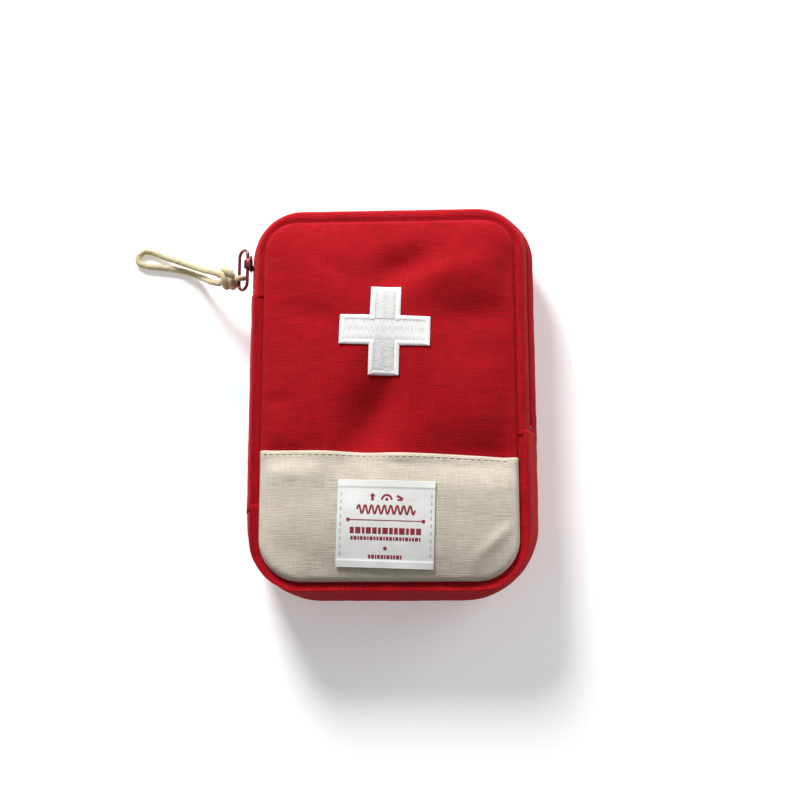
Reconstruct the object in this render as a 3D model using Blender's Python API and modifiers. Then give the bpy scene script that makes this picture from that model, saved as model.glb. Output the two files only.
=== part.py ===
"""First aid pouch: a soft zipped canvas pouch that lies on its back, with its contents.

Frame: the origin is the centre of the flat back face, +Z out of the front panel, +Y towards the
pouch's top, +X to its right. Lengths are in metres.
"""

from collections import namedtuple
from math import atan2, cos, pi, radians, sin

import bmesh
import bpy
from mathutils import Matrix, Vector

# Driving dimensions ---------------------------------------------------------------------------

CLEARANCE = 0.0003  # between solids that touch
CANVAS = 0.0010  # outer cloth
LINING = 0.0006  # inner cloth
PADDING = 0.0015  # foam sheet between them

# A level is one closed outline of the pouch, a rounded rectangle at a height.
Level = namedtuple("Level", "cx cy half_w half_h r_top r_bot z")
PANEL = Level(-0.0002, -0.0014, 0.0572, 0.0823, 0.0170, 0.0195, 0.0351)  # front panel's seam
ZIP = Level(0.0, 0.0, 0.0634, 0.0884, 0.0230, 0.0260, 0.0268)  # zip line
BELLY = Level(0.0008, -0.0009, 0.0650, 0.0897, 0.0245, 0.0280, 0.0180)  # widest line
LOW = Level(0.0004, -0.0004, 0.0638, 0.0885, 0.0240, 0.0275, 0.0070)
BACK = Level(0.0, 0.0, 0.0610, 0.0857, 0.0215, 0.0250, 0.0016)  # back panel's seam

CROWN = 0.0042  # rise of the front panel's middle above its seam
CROWN_POWER = 2.2
CORNER_STEPS = 5

# The zip runs from the left side over the top to the right side; the fold joins its ends.
FOLD_LEFT = Vector((-0.0634, 0.0477, 0.0))
FOLD_RIGHT = Vector((0.0634, -0.0170, 0.0))
FOLD_AXIS_Z = 0.0394
FOLD_GAP = 0.0006  # from the fold line to each half
PATCH_FOLD_GAP = 0.0014  # the patch stands above the fold's axis, so its halves lie further apart

HEM_LEFT = Vector((-0.0576, -0.0257, 0.0))  # top edge of the beige panel
HEM_RIGHT = Vector((0.0562, -0.0297, 0.0))
HEM_OVERLAP = 0.0080

LAP_Y = -0.0525  # where the left band is sewn to the bottom band
TILT = radians(-2.0)  # of the cross and the label

CROSS_CENTRE = Vector((-0.0016, 0.0271, 0.0))
CROSS_SPAN, CROSS_ARM, CROSS_THICK = 0.0403, 0.0134, 0.0009
LABEL_CENTRE = Vector((-0.0011, -0.0593, 0.0))
LABEL_W, LABEL_H, LABEL_THICK = 0.0424, 0.0376, 0.0006

ROW_THICK, ROW_HIGH, ROW_GAP = 0.0016, 0.0012, 0.0007  # each side's row of zip teeth
ROW_INSET = 0.0010
ROW_LEFT_Y, ROW_RIGHT_Y = 0.0512, -0.0142  # where the rows end

SLIDER_Y = 0.0635
SLIDER_LENGTH, SLIDER_WIDE, SLIDER_PLATE = 0.0076, 0.0066, 0.0010
RING_WIRE, RING_LENGTH, RING_ACROSS = 0.0012, 0.0203, 0.0075
RING_DROOP = radians(44)

CORD_THICK = 0.0030
KNOT_SIZE = Vector((0.0120, 0.0092, 0.0084))

INNER_FLOOR = 0.0046  # top of the back lining, with a clearance

# Colours --------------------------------------------------------------------------------------

RED = (0.48, 0.012, 0.022)
DARK_RED = (0.20, 0.010, 0.015)
BEIGE = (0.58, 0.53, 0.44)
WHITE = (0.80, 0.80, 0.78)
LINING_GREY = (0.30, 0.30, 0.31)
FOAM = (0.70, 0.70, 0.66)
STEEL = (0.62, 0.63, 0.65)
CORD_BEIGE = (0.62, 0.52, 0.34)
BLUE = (0.05, 0.20, 0.42)
CARD = (0.55, 0.42, 0.28)


# Scene ----------------------------------------------------------------------------------------


def clear_scene():
    for o in list(bpy.data.objects):
        bpy.data.objects.remove(o, do_unlink=True)


def new_collection(name):
    made = bpy.data.collections.new(name)
    bpy.context.scene.collection.children.link(made)
    return made


clear_scene()
PARTS = new_collection("first_aid_pouch")
CUTTERS = new_collection("cutters")


def material(name, color, roughness, metallic=0.0):
    made = bpy.data.materials.new(name)
    made.use_nodes = True
    shader = made.node_tree.nodes["Principled BSDF"]
    shader.inputs["Base Color"].default_value = (*color, 1.0)
    shader.inputs["Roughness"].default_value = roughness
    shader.inputs["Metallic"].default_value = metallic
    return made


def add(name, data, color, roughness=0.9, metallic=0.0, collection=PARTS):
    o = bpy.data.objects.new(name, data)
    collection.objects.link(o)
    o.data.materials.append(material(name, color, roughness, metallic))
    return o


def add_bmesh(name, bm, color, roughness=0.9, metallic=0.0):
    mesh = bpy.data.meshes.new(name)
    bm.to_mesh(mesh)
    bm.free()
    return add(name, mesh, color, roughness, metallic)


def smooth(o, angle=40):
    o.data.shade_smooth()
    o.data.set_sharp_from_angle(angle=radians(angle))
    return o


def solidify(o, thickness, offset=-1.0):
    m = o.modifiers.new("thickness", "SOLIDIFY")
    m.thickness, m.offset, m.use_even_offset = thickness, offset, True
    return o


def bevel(o, width, segments=2):
    m = o.modifiers.new("rounding", "BEVEL")
    m.width, m.segments, m.limit_method = width, segments, "ANGLE"
    return o


# Cutters --------------------------------------------------------------------------------------


def half_space(name, start, end, shift):
    """A large box on the left of the line from start to end, moved shift along its normal."""
    along = (end - start).normalized()
    normal = Vector((-along.y, along.x, 0.0))
    reach = 0.4
    bm = bmesh.new()
    bmesh.ops.create_cube(bm, size=reach)
    mesh = bpy.data.meshes.new(name)
    bm.to_mesh(mesh)
    bm.free()
    o = bpy.data.objects.new(name, mesh)
    CUTTERS.objects.link(o)
    o.location = (start + end) / 2 + normal * (reach / 2 + shift)
    o.rotation_euler.z = atan2(along.y, along.x)
    o.hide_render, o.display_type = True, "WIRE"
    return o


def as_cutter(o):
    """Moves an object to the cutters and shows it as a wire guide."""
    PARTS.objects.unlink(o)
    CUTTERS.objects.link(o)
    o.hide_render, o.display_type = True, "WIRE"
    return o


def cut(o, cutter):
    m = o.modifiers.new("cut_" + cutter.name, "BOOLEAN")
    m.object, m.operation, m.solver = cutter, "DIFFERENCE", "EXACT"
    return o


ABOVE_FOLD = half_space("above_fold", FOLD_LEFT, FOLD_RIGHT, -FOLD_GAP)
BELOW_FOLD = half_space("below_fold", FOLD_RIGHT, FOLD_LEFT, -FOLD_GAP)
ABOVE_PATCH_FOLD = half_space("above_patch_fold", FOLD_LEFT, FOLD_RIGHT, -PATCH_FOLD_GAP)
BELOW_PATCH_FOLD = half_space("below_patch_fold", FOLD_RIGHT, FOLD_LEFT, -PATCH_FOLD_GAP)
ABOVE_HEM = half_space("above_hem", HEM_LEFT, HEM_RIGHT, 0.0)
BELOW_OVERLAP = half_space("below_overlap", HEM_RIGHT, HEM_LEFT, HEM_OVERLAP)
SPLIT = Vector((-0.0100, 0.0, 0.0)), Vector((-0.0100, 0.05, 0.0))  # between the low arms
LEFT_OF_SPLIT = half_space("left_of_split", *SPLIT, 0.0)
RIGHT_OF_SPLIT = half_space("right_of_split", *reversed(SPLIT), 0.0)


# Outlines -------------------------------------------------------------------------------------


def spaced(first, last, count):
    return [first + (last - first) * i / (count - 1) for i in range(count)]


def grown(level, by, z=None):
    """The same outline, moved outwards all round."""
    return level._replace(
        half_w=level.half_w + by,
        half_h=level.half_h + by,
        r_top=level.r_top + by,
        r_bot=level.r_bot + by,
        z=level.z if z is None else z,
    )


def corner_point(level, quadrant, angle):
    sx = 1 if quadrant in (0, 3) else -1
    sy = 1 if quadrant in (0, 1) else -1
    r = level.r_top if sy > 0 else level.r_bot
    x = level.cx + sx * (level.half_w - r) + r * cos(angle)
    y = level.cy + sy * (level.half_h - r) + r * sin(angle)
    return Vector((x, y, level.z))


def rim_point(level, station):
    """The point of an outline at a station, which is a side's name and a place along it."""
    side, at = station
    if side == "right":
        return Vector((level.cx + level.half_w, at, level.z))
    if side == "left":
        return Vector((level.cx - level.half_w, at, level.z))
    if side == "top":
        return Vector((level.cx + at * (level.half_w - level.r_top), level.cy + level.half_h, level.z))
    if side == "bottom":
        return Vector((level.cx + at * (level.half_w - level.r_bot), level.cy - level.half_h, level.z))
    return corner_point(level, side, at)


def corner(quadrant, steps=CORNER_STEPS):
    return [(quadrant, (quadrant + i / steps) * pi / 2) for i in range(steps + 1)]


SIDE_TOP, SIDE_BOTTOM = 0.0620, -0.0600  # the straight part of the long sides


def over_the_top(right_y, left_y, count=6, steps=CORNER_STEPS):
    """Stations from a place on the right side, over the top, to a place on the left side."""
    return (
        [("right", y) for y in spaced(right_y, SIDE_TOP, count)]
        + corner(0, steps)
        + [("top", at) for at in (0.5, 0.0, -0.5)]
        + corner(1, steps)
        + [("left", y) for y in spaced(SIDE_TOP, left_y, count)]
    )


def under_the_bottom(left_y, right_y, count=4):
    return (
        [("left", y) for y in spaced(left_y, SIDE_BOTTOM, 2)]
        + corner(2)
        + [("bottom", at) for at in (-0.5, 0.0, 0.5)]
        + corner(3)
        + [("right", y) for y in spaced(SIDE_BOTTOM, right_y, count)]
    )


def all_round():
    return over_the_top(0.0, 0.0, 4) + under_the_bottom(-0.0200, -0.0200, 3)


# Sheets, walls and bars -------------------------------------------------------------------------


def strip_faces(bm, rows, closed):
    """Quads between rows of vertices; every row has one vertex for each station."""
    count = len(rows[0])
    for upper, lower in zip(rows, rows[1:]):
        for i in range(count if closed else count - 1):
            j = (i + 1) % count
            bm.faces.new((upper[i], lower[i], lower[j], upper[j]))


def wall(name, stations, levels, thickness, color, closed=False):
    """A side wall: a surface through the levels, from the front to the back, thickened inwards."""
    bm = bmesh.new()
    rows = [[bm.verts.new(rim_point(level, s)) for s in stations] for level in levels]
    strip_faces(bm, rows, closed)
    return smooth(solidify(add_bmesh(name, bm, color), thickness))


def crown(x, y):
    """How far the front panel's middle stands above its seam."""
    across = 1 - abs((x - PANEL.cx) / PANEL.half_w) ** CROWN_POWER
    along = 1 - abs((y - PANEL.cy) / PANEL.half_h) ** CROWN_POWER
    return CROWN * max(across, 0.0) * max(along, 0.0)


def front_sheet(name, inset, drop, thickness, color):
    """A crowned sheet as large as the front panel, with its top face drop below the panel's."""
    level = grown(PANEL, -inset)
    spine = level.half_h - level.half_w
    bm = bmesh.new()
    rows = []
    for share in (0.0, 0.18, 0.45, 1.0):
        row = []
        for station in all_round():
            p = rim_point(level, station)
            middle = Vector((level.cx, min(max(p.y, level.cy - spine), level.cy + spine), p.z))
            p = p.lerp(middle, share)
            p.z = PANEL.z + crown(p.x, p.y) - drop
            row.append(bm.verts.new(p))
        rows.append(row)
    strip_faces(bm, rows[::-1], True)
    bmesh.ops.remove_doubles(bm, verts=bm.verts, dist=1e-6)
    return smooth(solidify(add_bmesh(name, bm, color), thickness))


def plate(name, level, thickness, color):
    """A flat sheet that fills a level's outline, from its height up."""
    bm = bmesh.new()
    bm.faces.new([bm.verts.new(rim_point(level, s)) for s in all_round()])
    return smooth(solidify(add_bmesh(name, bm, color), thickness, 1.0))


def bar(name, stations, level, thick, z_span, color, closed=False, roughness=0.9, metallic=0.0):
    """A thin bar along an outline; z_span gives its low and high edge at a point."""
    bm = bmesh.new()
    rings = []
    for s in stations:
        outer, inner = rim_point(level, s), rim_point(grown(level, -thick), s)
        low, high = z_span(outer)
        ends = [(outer, low), (outer, high), (inner, high), (inner, low)]
        rings.append([bm.verts.new((p.x, p.y, z)) for p, z in ends])
    around = rings[1:] + (rings[:1] if closed else [])
    for ring, after in zip(rings, around):
        for k in range(4):
            bm.faces.new((ring[k - 1], after[k - 1], after[k], ring[k]))
    if not closed:
        bm.faces.new(rings[0])
        bm.faces.new(rings[-1][::-1])
    bmesh.ops.recalc_face_normals(bm, faces=bm.faces)
    return smooth(add_bmesh(name, bm, color, roughness, metallic))


def draped(name, corner_low, corner_high, cells, height, thickness, color, centre=None, turn=0.0):
    """A rectangular sheet of cells on a height function, turned; three of its edges are sewn."""
    bm = bmesh.new()
    bmesh.ops.create_grid(bm, x_segments=cells[0], y_segments=cells[1], size=0.5)
    size = corner_high - corner_low
    middle = centre or (corner_low + corner_high) / 2
    spin = Matrix.Rotation(turn, 3, "Z")
    for v in bm.verts:
        p = middle + spin @ Vector((v.co.x * size.x, v.co.y * size.y, 0.0))
        sewn = abs(v.co.x) > 0.49 or v.co.y > 0.49
        v.co = (p.x, p.y, height(p.x, p.y, sewn))
    return smooth(solidify(add_bmesh(name, bm, color), thickness, 1.0))


def box(name, low, high, color, roughness=0.9, metallic=0.0, rounding=0.0):
    bm = bmesh.new()
    size, middle = Vector(high) - Vector(low), (Vector(high) + Vector(low)) / 2
    bmesh.ops.create_cube(bm, size=1.0, matrix=Matrix.LocRotScale(middle, None, size))
    o = add_bmesh(name, bm, color, roughness, metallic)
    return bevel(o, rounding) if rounding else o


def turned(name, profile, color, place, turn, steps=20, roughness=0.9, metallic=0.0):
    """A closed profile of radius and height, turned about Z and then placed."""
    bm = bmesh.new()
    ring = [bm.verts.new((r, 0.0, z)) for r, z in profile]
    for a, b in zip(ring, ring[1:] + ring[:1]):
        bm.edges.new((a, b))
    o = add_bmesh(name, bm, color, roughness, metallic)
    m = o.modifiers.new("turn", "SCREW")
    m.steps = m.render_steps = steps
    m.use_merge_vertices, m.merge_threshold = True, 0.00001
    o.location, o.rotation_euler = place, turn
    return o


def flat_outline(name, outlines, z_low, z_high, color, roughness=0.9, metallic=0.0):
    """A flat piece: closed outlines of x, y points, the first its edge and the others its holes."""
    data = bpy.data.curves.new(name, "CURVE")
    data.dimensions, data.fill_mode = "2D", "BOTH"
    data.extrude = (z_high - z_low) / 2
    for points in outlines:
        spline = data.splines.new("POLY")
        spline.points.add(len(points) - 1)
        for p, (x, y) in zip(spline.points, points):
            p.co = (x, y, 0.0, 1.0)
        spline.use_cyclic_u = True
    o = add(name, data, color, roughness, metallic)
    o.location.z = (z_low + z_high) / 2
    return o


def tube(name, points, thick, color, closed=False, roughness=0.8, metallic=0.0, resolution=2):
    """A round wire or cord along points."""
    data = bpy.data.curves.new(name, "CURVE")
    data.dimensions = "3D"
    data.bevel_depth, data.bevel_resolution, data.use_fill_caps = thick / 2, resolution, True
    spline = data.splines.new("POLY")
    spline.points.add(len(points) - 1)
    for p, co in zip(spline.points, points):
        p.co = (*co, 1.0)
    spline.use_cyclic_u = closed
    return add(name, data, color, roughness, metallic)


def smooth_route(points, count):
    """Points spread evenly along a Catmull-Rom curve through the given ones."""
    ends = [points[0] * 2 - points[1], *points, points[-1] * 2 - points[-2]]
    fine = []
    for a, b, c, d in zip(ends, ends[1:], ends[2:], ends[3:]):
        for i in range(12):
            t = i / 12
            bend = (a * 2 - b * 5 + c * 4 - d) * t * t + (b * 3 - a - c * 3 + d) * t**3
            fine.append((b * 2 + (c - a) * t + bend) / 2)
    fine.append(points[-1])
    gone = [0.0]
    for p, q in zip(fine, fine[1:]):
        gone.append(gone[-1] + (q - p).length)
    route, k = [], 0
    for want in spaced(0.0, gone[-1], count):
        while k < len(fine) - 2 and gone[k + 1] < want:
            k += 1
        span = gone[k + 1] - gone[k]
        route.append(fine[k].lerp(fine[k + 1], (want - gone[k]) / span))
    return route


# The shell --------------------------------------------------------------------------------------


def back_wall():
    """The back: canvas, padding and lining, bound round their edge."""
    plate("back_panel", BACK._replace(z=0.0), CANVAS, RED)
    plate("back_padding", grown(BACK, -0.0016, CANVAS + CLEARANCE), 0.0020, FOAM)
    plate("back_lining", grown(BACK, -0.0020, 0.0036), LINING, LINING_GREY)
    span = (INNER_FLOOR, INNER_FLOOR + 0.0028)
    bar("back_binding", all_round(), grown(BACK, -0.0022), 0.0014, lambda p: span, LINING_GREY, True)


def side_bands():
    """The band round the sides, in the three lengths that it is sewn from, and its lining."""
    rear = [grown(ZIP, -0.0001, 0.0252), BELLY, LOW, BACK]
    cut(wall("rear_side_band", over_the_top(-0.0240, 0.0400), rear, CANVAS, RED), BELOW_FOLD)
    full = [PANEL, grown(ZIP, -0.0022, 0.0305), ZIP, BELLY, LOW, BACK]
    left = [grown(level, 0.0005) for level in full]
    left_stations = [("left", y) for y in spaced(0.0520, LAP_Y + CLEARANCE, 6)]
    cut(wall("left_band", left_stations, left, CANVAS, RED), ABOVE_FOLD)
    bottom_stations = under_the_bottom(LAP_Y, -0.0100)
    cut(wall("bottom_band", bottom_stations, full, CANVAS, RED), ABOVE_FOLD)
    inside = [grown(BELLY, -0.0020, 0.0192), grown(BELLY, -0.0016), grown(LOW, -0.0016, 0.0078)]
    wall("side_lining", all_round(), inside, LINING, LINING_GREY, True)
    strip = [PANEL, grown(ZIP, -0.0022, 0.0305), grown(ZIP, -0.0004, 0.0293)]
    cut(wall("front_strip", over_the_top(-0.0260, 0.0380), strip, CANVAS, RED), BELOW_FOLD)


def in_two_halves(kind, inset, drop, thickness, color):
    """A front sheet cut at the fold into the flap's half and the base's half, which it returns."""
    cut(front_sheet(kind + "_upper", inset, drop, thickness, color), BELOW_FOLD)
    return cut(front_sheet(kind + "_lower", inset, drop, thickness, color), ABOVE_FOLD)


def front_wall():
    """The front: the red panel, its padding and lining, and the beige panel sewn over it."""
    inset = 0.0013
    lower = in_two_halves("front_panel", inset, 0.0, 0.0008, RED)
    cut(lower, BELOW_OVERLAP)
    in_two_halves("front_padding", inset, 0.0011, PADDING, FOAM)
    in_two_halves("front_lining", inset, 0.0029, LINING, LINING_GREY)
    beige = front_sheet("beige_panel", inset, -0.0011, 0.0008, BEIGE)
    cut(beige, ABOVE_HEM)
    edge = grown(PANEL, -0.0010)
    span = (0.0284, 0.0312)
    for name, cutter in (("upper", BELOW_FOLD), ("lower", ABOVE_FOLD)):
        made = bar("front_binding_" + name, all_round(), edge, 0.0016, lambda p: span, RED, True)
        cut(made, cutter)


def label_height(x, y, sewn):
    return PANEL.z + crown(x, y) + 0.0011 + CLEARANCE


def label():
    half = Vector((LABEL_W / 2, LABEL_H / 2, 0.0))
    draped("woven_label", -half, half, (5, 5), label_height, LABEL_THICK, WHITE, LABEL_CENTRE, TILT)


def cross_outline():
    """The twelve corners of the cross, tilted in its place."""
    span, arm = CROSS_SPAN / 2, CROSS_ARM / 2
    quarter = [(span, -arm), (span, arm), (arm, arm)]
    spin = Matrix.Rotation(TILT, 2)
    points = []
    for k in range(4):
        turn = Matrix.Rotation(k * pi / 2, 2)
        points += [spin @ turn @ Vector(p) + CROSS_CENTRE.xy for p in quarter]
    return points


def cross_patch(name, *cutters):
    """The patch lies on the crowned panel, so its outline is cut into cells that follow it."""
    bm = bmesh.new()
    bm.faces.new([bm.verts.new((*p, 0.0)) for p in cross_outline()])
    spin = Matrix.Rotation(TILT, 3, "Z")
    steps = (-0.0135, -CROSS_ARM / 2, 0.0, CROSS_ARM / 2, 0.0135)
    for axis in (Vector((1, 0, 0)), Vector((0, 1, 0))):
        for at in steps:
            geom = bm.verts[:] + bm.edges[:] + bm.faces[:]
            place = CROSS_CENTRE + spin @ (axis * at)
            bmesh.ops.bisect_plane(bm, geom=geom, dist=1e-6, plane_co=place, plane_no=spin @ axis)
    bmesh.ops.triangulate(bm, faces=bm.faces)
    for v in bm.verts:
        v.co.z = PANEL.z + crown(v.co.x, v.co.y) + CLEARANCE
    o = add_bmesh(name, bm, WHITE)
    solidify(o, CROSS_THICK, 1.0)
    for cutter in cutters:
        cut(o, cutter)


# The zip ----------------------------------------------------------------------------------------


def zip_chain():
    """Both rows of teeth, their tapes, and the stops at the rows' ends."""
    middle = ZIP.z
    row = grown(ZIP, -ROW_INSET + ROW_THICK / 2)

    low, high = middle - ROW_GAP / 2 - ROW_HIGH, middle - ROW_GAP / 2
    path = over_the_top(ROW_RIGHT_Y, ROW_LEFT_Y, 3, 6)
    for name, lift in (("zip_teeth_front", ROW_GAP + ROW_HIGH), ("zip_teeth_rear", 0.0)):
        span = (low + lift, high + lift)
        bar(name, path, row, ROW_THICK, lambda p: span, DARK_RED, roughness=0.5)
    tape_path = over_the_top(-0.0128, 0.0610, 3)
    front = [grown(ZIP, -0.0064, 0.0322), grown(ZIP, -0.0028, 0.0291)]
    wall("zip_tape_front", tape_path, front, 0.0005, RED)
    rear = [grown(ZIP, -0.0015, 0.0249), grown(ZIP, -0.0012, 0.0202)]
    wall("zip_tape_rear", tape_path, rear, 0.0005, RED)
    left, right = -row.half_w, row.half_w
    ends = (0.0493, ROW_LEFT_Y - CLEARANCE), (-0.0160, ROW_RIGHT_Y - CLEARANCE)
    box("zip_stop_left", (left, ends[0][0], low), (left + ROW_THICK, ends[0][1], high), STEEL, 0.4, 1.0)
    box("zip_stop_right", (right - ROW_THICK, ends[1][0], low), (right, ends[1][1], high), STEEL, 0.4, 1.0)
    box("zip_end_tab", (-0.0656, 0.0432, 0.0240), (-0.0644, 0.0466, 0.0292), RED, rounding=0.0004)


def joined(o, others):
    """Joins closed pieces to o by Boolean union; the others become wire cutters."""
    for k in others:
        as_cutter(k)
        m = o.modifiers.new("join_" + k.name, "BOOLEAN")
        m.object, m.operation, m.solver = k, "UNION", "EXACT"
    return o


SLIDER_OUT = ZIP.half_w + 0.0008  # inner face of the slider's outer plate
SLIDER_IN = 0.0595  # inner face of its keel, which clears the tape in the corner
KEEL_THICK, KEEL_DEEP = 0.0007, 0.0026
POST_HALF, POST_LENGTH = 0.00015, 0.0030  # the post between the rows of teeth
EYE_OUT = 0.0028  # how far the slider's eye stands off its plate
EYE_WALL = 0.0008


def slider():
    """A zip slider: an outer plate with an eye for the ring, a thin post and a low inner plate."""
    nose, tail = SLIDER_Y - SLIDER_LENGTH / 2, SLIDER_Y + SLIDER_LENGTH / 2
    low, high = ZIP.z - SLIDER_WIDE / 2, ZIP.z + SLIDER_WIDE / 2
    face, back = -SLIDER_OUT, -SLIDER_OUT - SLIDER_PLATE
    plate_box = box("slider_body", (back, nose, low), (face, tail, high), DARK_RED, 0.35, 0.8)
    post = box("slider_post", (face - 0.0004, nose, ZIP.z - POST_HALF),
               (-SLIDER_IN - 0.0002, nose + POST_LENGTH, ZIP.z + POST_HALF), DARK_RED)
    keel = box("slider_keel", (-SLIDER_IN - KEEL_THICK, nose, ZIP.z - KEEL_DEEP),
               (-SLIDER_IN, tail, ZIP.z + POST_HALF), DARK_RED)
    eye_y = (SLIDER_Y - 0.0013, SLIDER_Y + 0.0013)
    eye = box("slider_eye", (back - EYE_OUT, eye_y[0], ZIP.z - 0.0018),
              (back + 0.0004, eye_y[1], ZIP.z + 0.0018), DARK_RED)
    hole = box("slider_eye_hole", (back - EYE_OUT + EYE_WALL, eye_y[0] - 0.001, ZIP.z - 0.0010),
               (back, eye_y[1] + 0.001, ZIP.z + 0.0010), DARK_RED)
    joined(plate_box, [post, keel, eye])
    cut(plate_box, as_cutter(hole))


RING_AXIS = Vector((-SLIDER_OUT - SLIDER_PLATE - 0.0010, SLIDER_Y, ZIP.z))
RING_MIDDLE_Y = 0.0612
RING_SIDE = (RING_ACROSS - RING_WIRE) * Vector((-cos(RING_DROOP), 0.0, -sin(RING_DROOP)))


def pull_ring():
    """An oval wire ring through the slider's eye, drooping outwards; its origin is on its axis."""
    half = (RING_ACROSS - RING_WIRE) / 2
    straight = (RING_LENGTH - RING_WIRE) / 2 - half
    points = []
    for sign in (1, -1):
        for a in spaced(-pi / 2, pi / 2, 9):
            points.append((sign * (straight + half * cos(a)), sign * half * sin(a)))
    across = RING_SIDE.normalized()
    middle = Vector((0.0, RING_MIDDLE_Y - SLIDER_Y, 0.0)) + across * half
    route = [middle + Vector((0, 1, 0)) * u + across * v for u, v in points]
    o = tube("pull_ring", route, RING_WIRE, DARK_RED, True, 0.3, 0.9)
    o.location = RING_AXIS
    return o


KNOT_Y = 0.0575
KNOT_PIVOT = Vector((RING_AXIS.x + RING_SIDE.x, KNOT_Y, RING_AXIS.z + RING_SIDE.z))
KNOT_CENTRE = KNOT_PIVOT + Vector((-0.0034, 0.0, -0.0008))


def cord_knot():
    """The knot round the ring's outer side, with a channel for the wire."""
    bm = bmesh.new()
    bmesh.ops.create_uvsphere(bm, u_segments=16, v_segments=10, radius=0.5)
    for v in bm.verts:
        v.co = Vector(a * b for a, b in zip(v.co, KNOT_SIZE)) + KNOT_CENTRE - KNOT_PIVOT
    o = smooth(add_bmesh("cord_knot", bm, CORD_BEIGE))
    o.location = KNOT_PIVOT
    bm = bmesh.new()
    bmesh.ops.create_cone(bm, cap_ends=True, segments=12, radius1=0.0013, radius2=0.0013, depth=0.03)
    channel = add_bmesh("knot_channel", bm, CORD_BEIGE)
    channel.location, channel.rotation_euler.x = KNOT_PIVOT, pi / 2
    cut(o, as_cutter(channel))


CORD_ROUTE = [
    (-0.0803, 0.0606, 0.0208),
    (-0.0850, 0.0628, 0.0180),
    (-0.0895, 0.0652, 0.0130),
    (-0.0945, 0.0680, 0.0086),
    (-0.0995, 0.0704, 0.0060),
    (-0.1050, 0.0728, 0.0046),
    (-0.1105, 0.0752, 0.0028),
    (-0.1160, 0.0778, 0.0016),
    (-0.1205, 0.0788, 0.0016),
    (-0.1238, 0.0768, 0.0016),
    (-0.1240, 0.0734, 0.0016),
    (-0.1205, 0.0714, 0.0016),
    (-0.1150, 0.0706, 0.0016),
    (-0.1095, 0.0700, 0.0016),
    (-0.1040, 0.0690, 0.0016),
    (-0.0985, 0.0676, 0.0018),
    (-0.0940, 0.0652, 0.0040),
    (-0.0895, 0.0618, 0.0098),
    (-0.0850, 0.0584, 0.0160),
    (-0.0806, 0.0566, 0.0192),
]


def pull_cord():
    """A loop of soft cord out of the knot and back, which droops to the surface."""
    route = smooth_route([Vector(p) for p in CORD_ROUTE], 26)
    tube("pull_cord", route, CORD_THICK, CORD_BEIGE)


# Inside -----------------------------------------------------------------------------------------

TWEEZERS_X, TUBE_X, SCISSORS_X = -0.0430, -0.0210, 0.0220
WEBBING_LOW_Y, WEBBING_HIGH_Y = 0.0130, 0.0310
SCISSORS_PIVOT = Vector((SCISSORS_X, 0.0260, 0.0))
OINTMENT_R = 0.0070


def elastic_webbing():
    """One elastic strip sewn across the back, in an arch over each tool."""
    base = INNER_FLOOR + 0.0002
    arches = ((TWEEZERS_X, 0.0070, 0.0118), (TUBE_X, 0.0082, 0.0158), (SCISSORS_X, 0.0110, 0.0070))
    route = [(-0.0540, base)]
    for middle, half, high in arches:
        for a in spaced(pi, 0.0, 9):
            route.append((middle + half * cos(a), base + high * sin(a) ** 0.8))
    route.append((0.0520, base))
    bm = bmesh.new()
    rows = [[bm.verts.new((x, y, z)) for x, z in route] for y in (WEBBING_HIGH_Y, WEBBING_LOW_Y)]
    strip_faces(bm, rows, False)
    smooth(solidify(add_bmesh("elastic_webbing", bm, (0.05, 0.05, 0.055)), 0.0008, 1.0))


def tweezers():
    """Two sprung leaves, joined at their upper end; each bows away from the other."""
    middle, top, length, half_w = 0.0100, 0.0720, 0.0820, 0.0036
    share = ((0.0, 0.0), (0.12, 0.30), (0.35, 1.0), (0.65, 1.0), (0.9, 0.80), (1.0, 0.72))
    for name, sign in (("tweezers_leaf_lower", -1), ("tweezers_leaf_upper", 1)):
        bm = bmesh.new()
        rows = []
        for along, bow in share:
            z = middle + sign * (0.0002 + 0.0030 * bow)
            w = half_w * (1 - 0.75 * max(0.0, along - 0.6) / 0.4)
            y = top - along * length
            rows.append([bm.verts.new((TWEEZERS_X + w, y, z)), bm.verts.new((TWEEZERS_X - w, y, z))])
        strip_faces(bm, rows, False)
        solidify(add_bmesh(name, bm, STEEL, 0.3, 1.0), 0.0008, -sign)


def ointment():
    """A small tube: a round shoulder that flattens to a crimped end, and a screw cap."""
    z = INNER_FLOOR + 0.0004 + OINTMENT_R
    bm = bmesh.new()
    rings = []
    stages = ((0.0560, 0.0035, 0.0035), (0.0550, 0.0070, 0.0070), (0.0300, 0.0070, 0.0070),
              (0.0080, 0.0074, 0.0042), (-0.0010, 0.0078, 0.0006), (-0.0060, 0.0078, 0.0006))
    for y, across, deep in stages:
        ring = []
        for k in range(14):
            a = 2 * pi * k / 14
            ring.append(bm.verts.new((TUBE_X + across * cos(a), y, z + deep * sin(a))))
        rings.append(ring)
    strip_faces(bm, rings, True)
    bm.faces.new(rings[0])
    bm.faces.new(rings[-1][::-1])
    bmesh.ops.recalc_face_normals(bm, faces=bm.faces)
    smooth(add_bmesh("ointment_tube", bm, WHITE, 0.35))
    high = 0.0090
    cap = [(0.0, high), (0.0050, high), (0.0056, 0.0), (0.0, 0.0)]
    turned("ointment_cap", cap, BLUE, (TUBE_X, 0.0563, z), (-pi / 2, 0.0, 0.0), 16, 0.4)


def blade_outline(sign):
    """A scissor blade with its tang, which crosses to the other side above the pivot."""
    points = [(0.0, -0.0460), (0.0030, -0.0400), (0.0046, -0.0100), (0.0048, 0.0), (0.0010, 0.0085),
              (-0.0068, 0.0182), (-0.0092, 0.0164), (-0.0050, 0.0040), (-0.0012, -0.0060)]
    return [(sign * x + SCISSORS_PIVOT.x, y + SCISSORS_PIVOT.y) for x, y in points]


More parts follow.
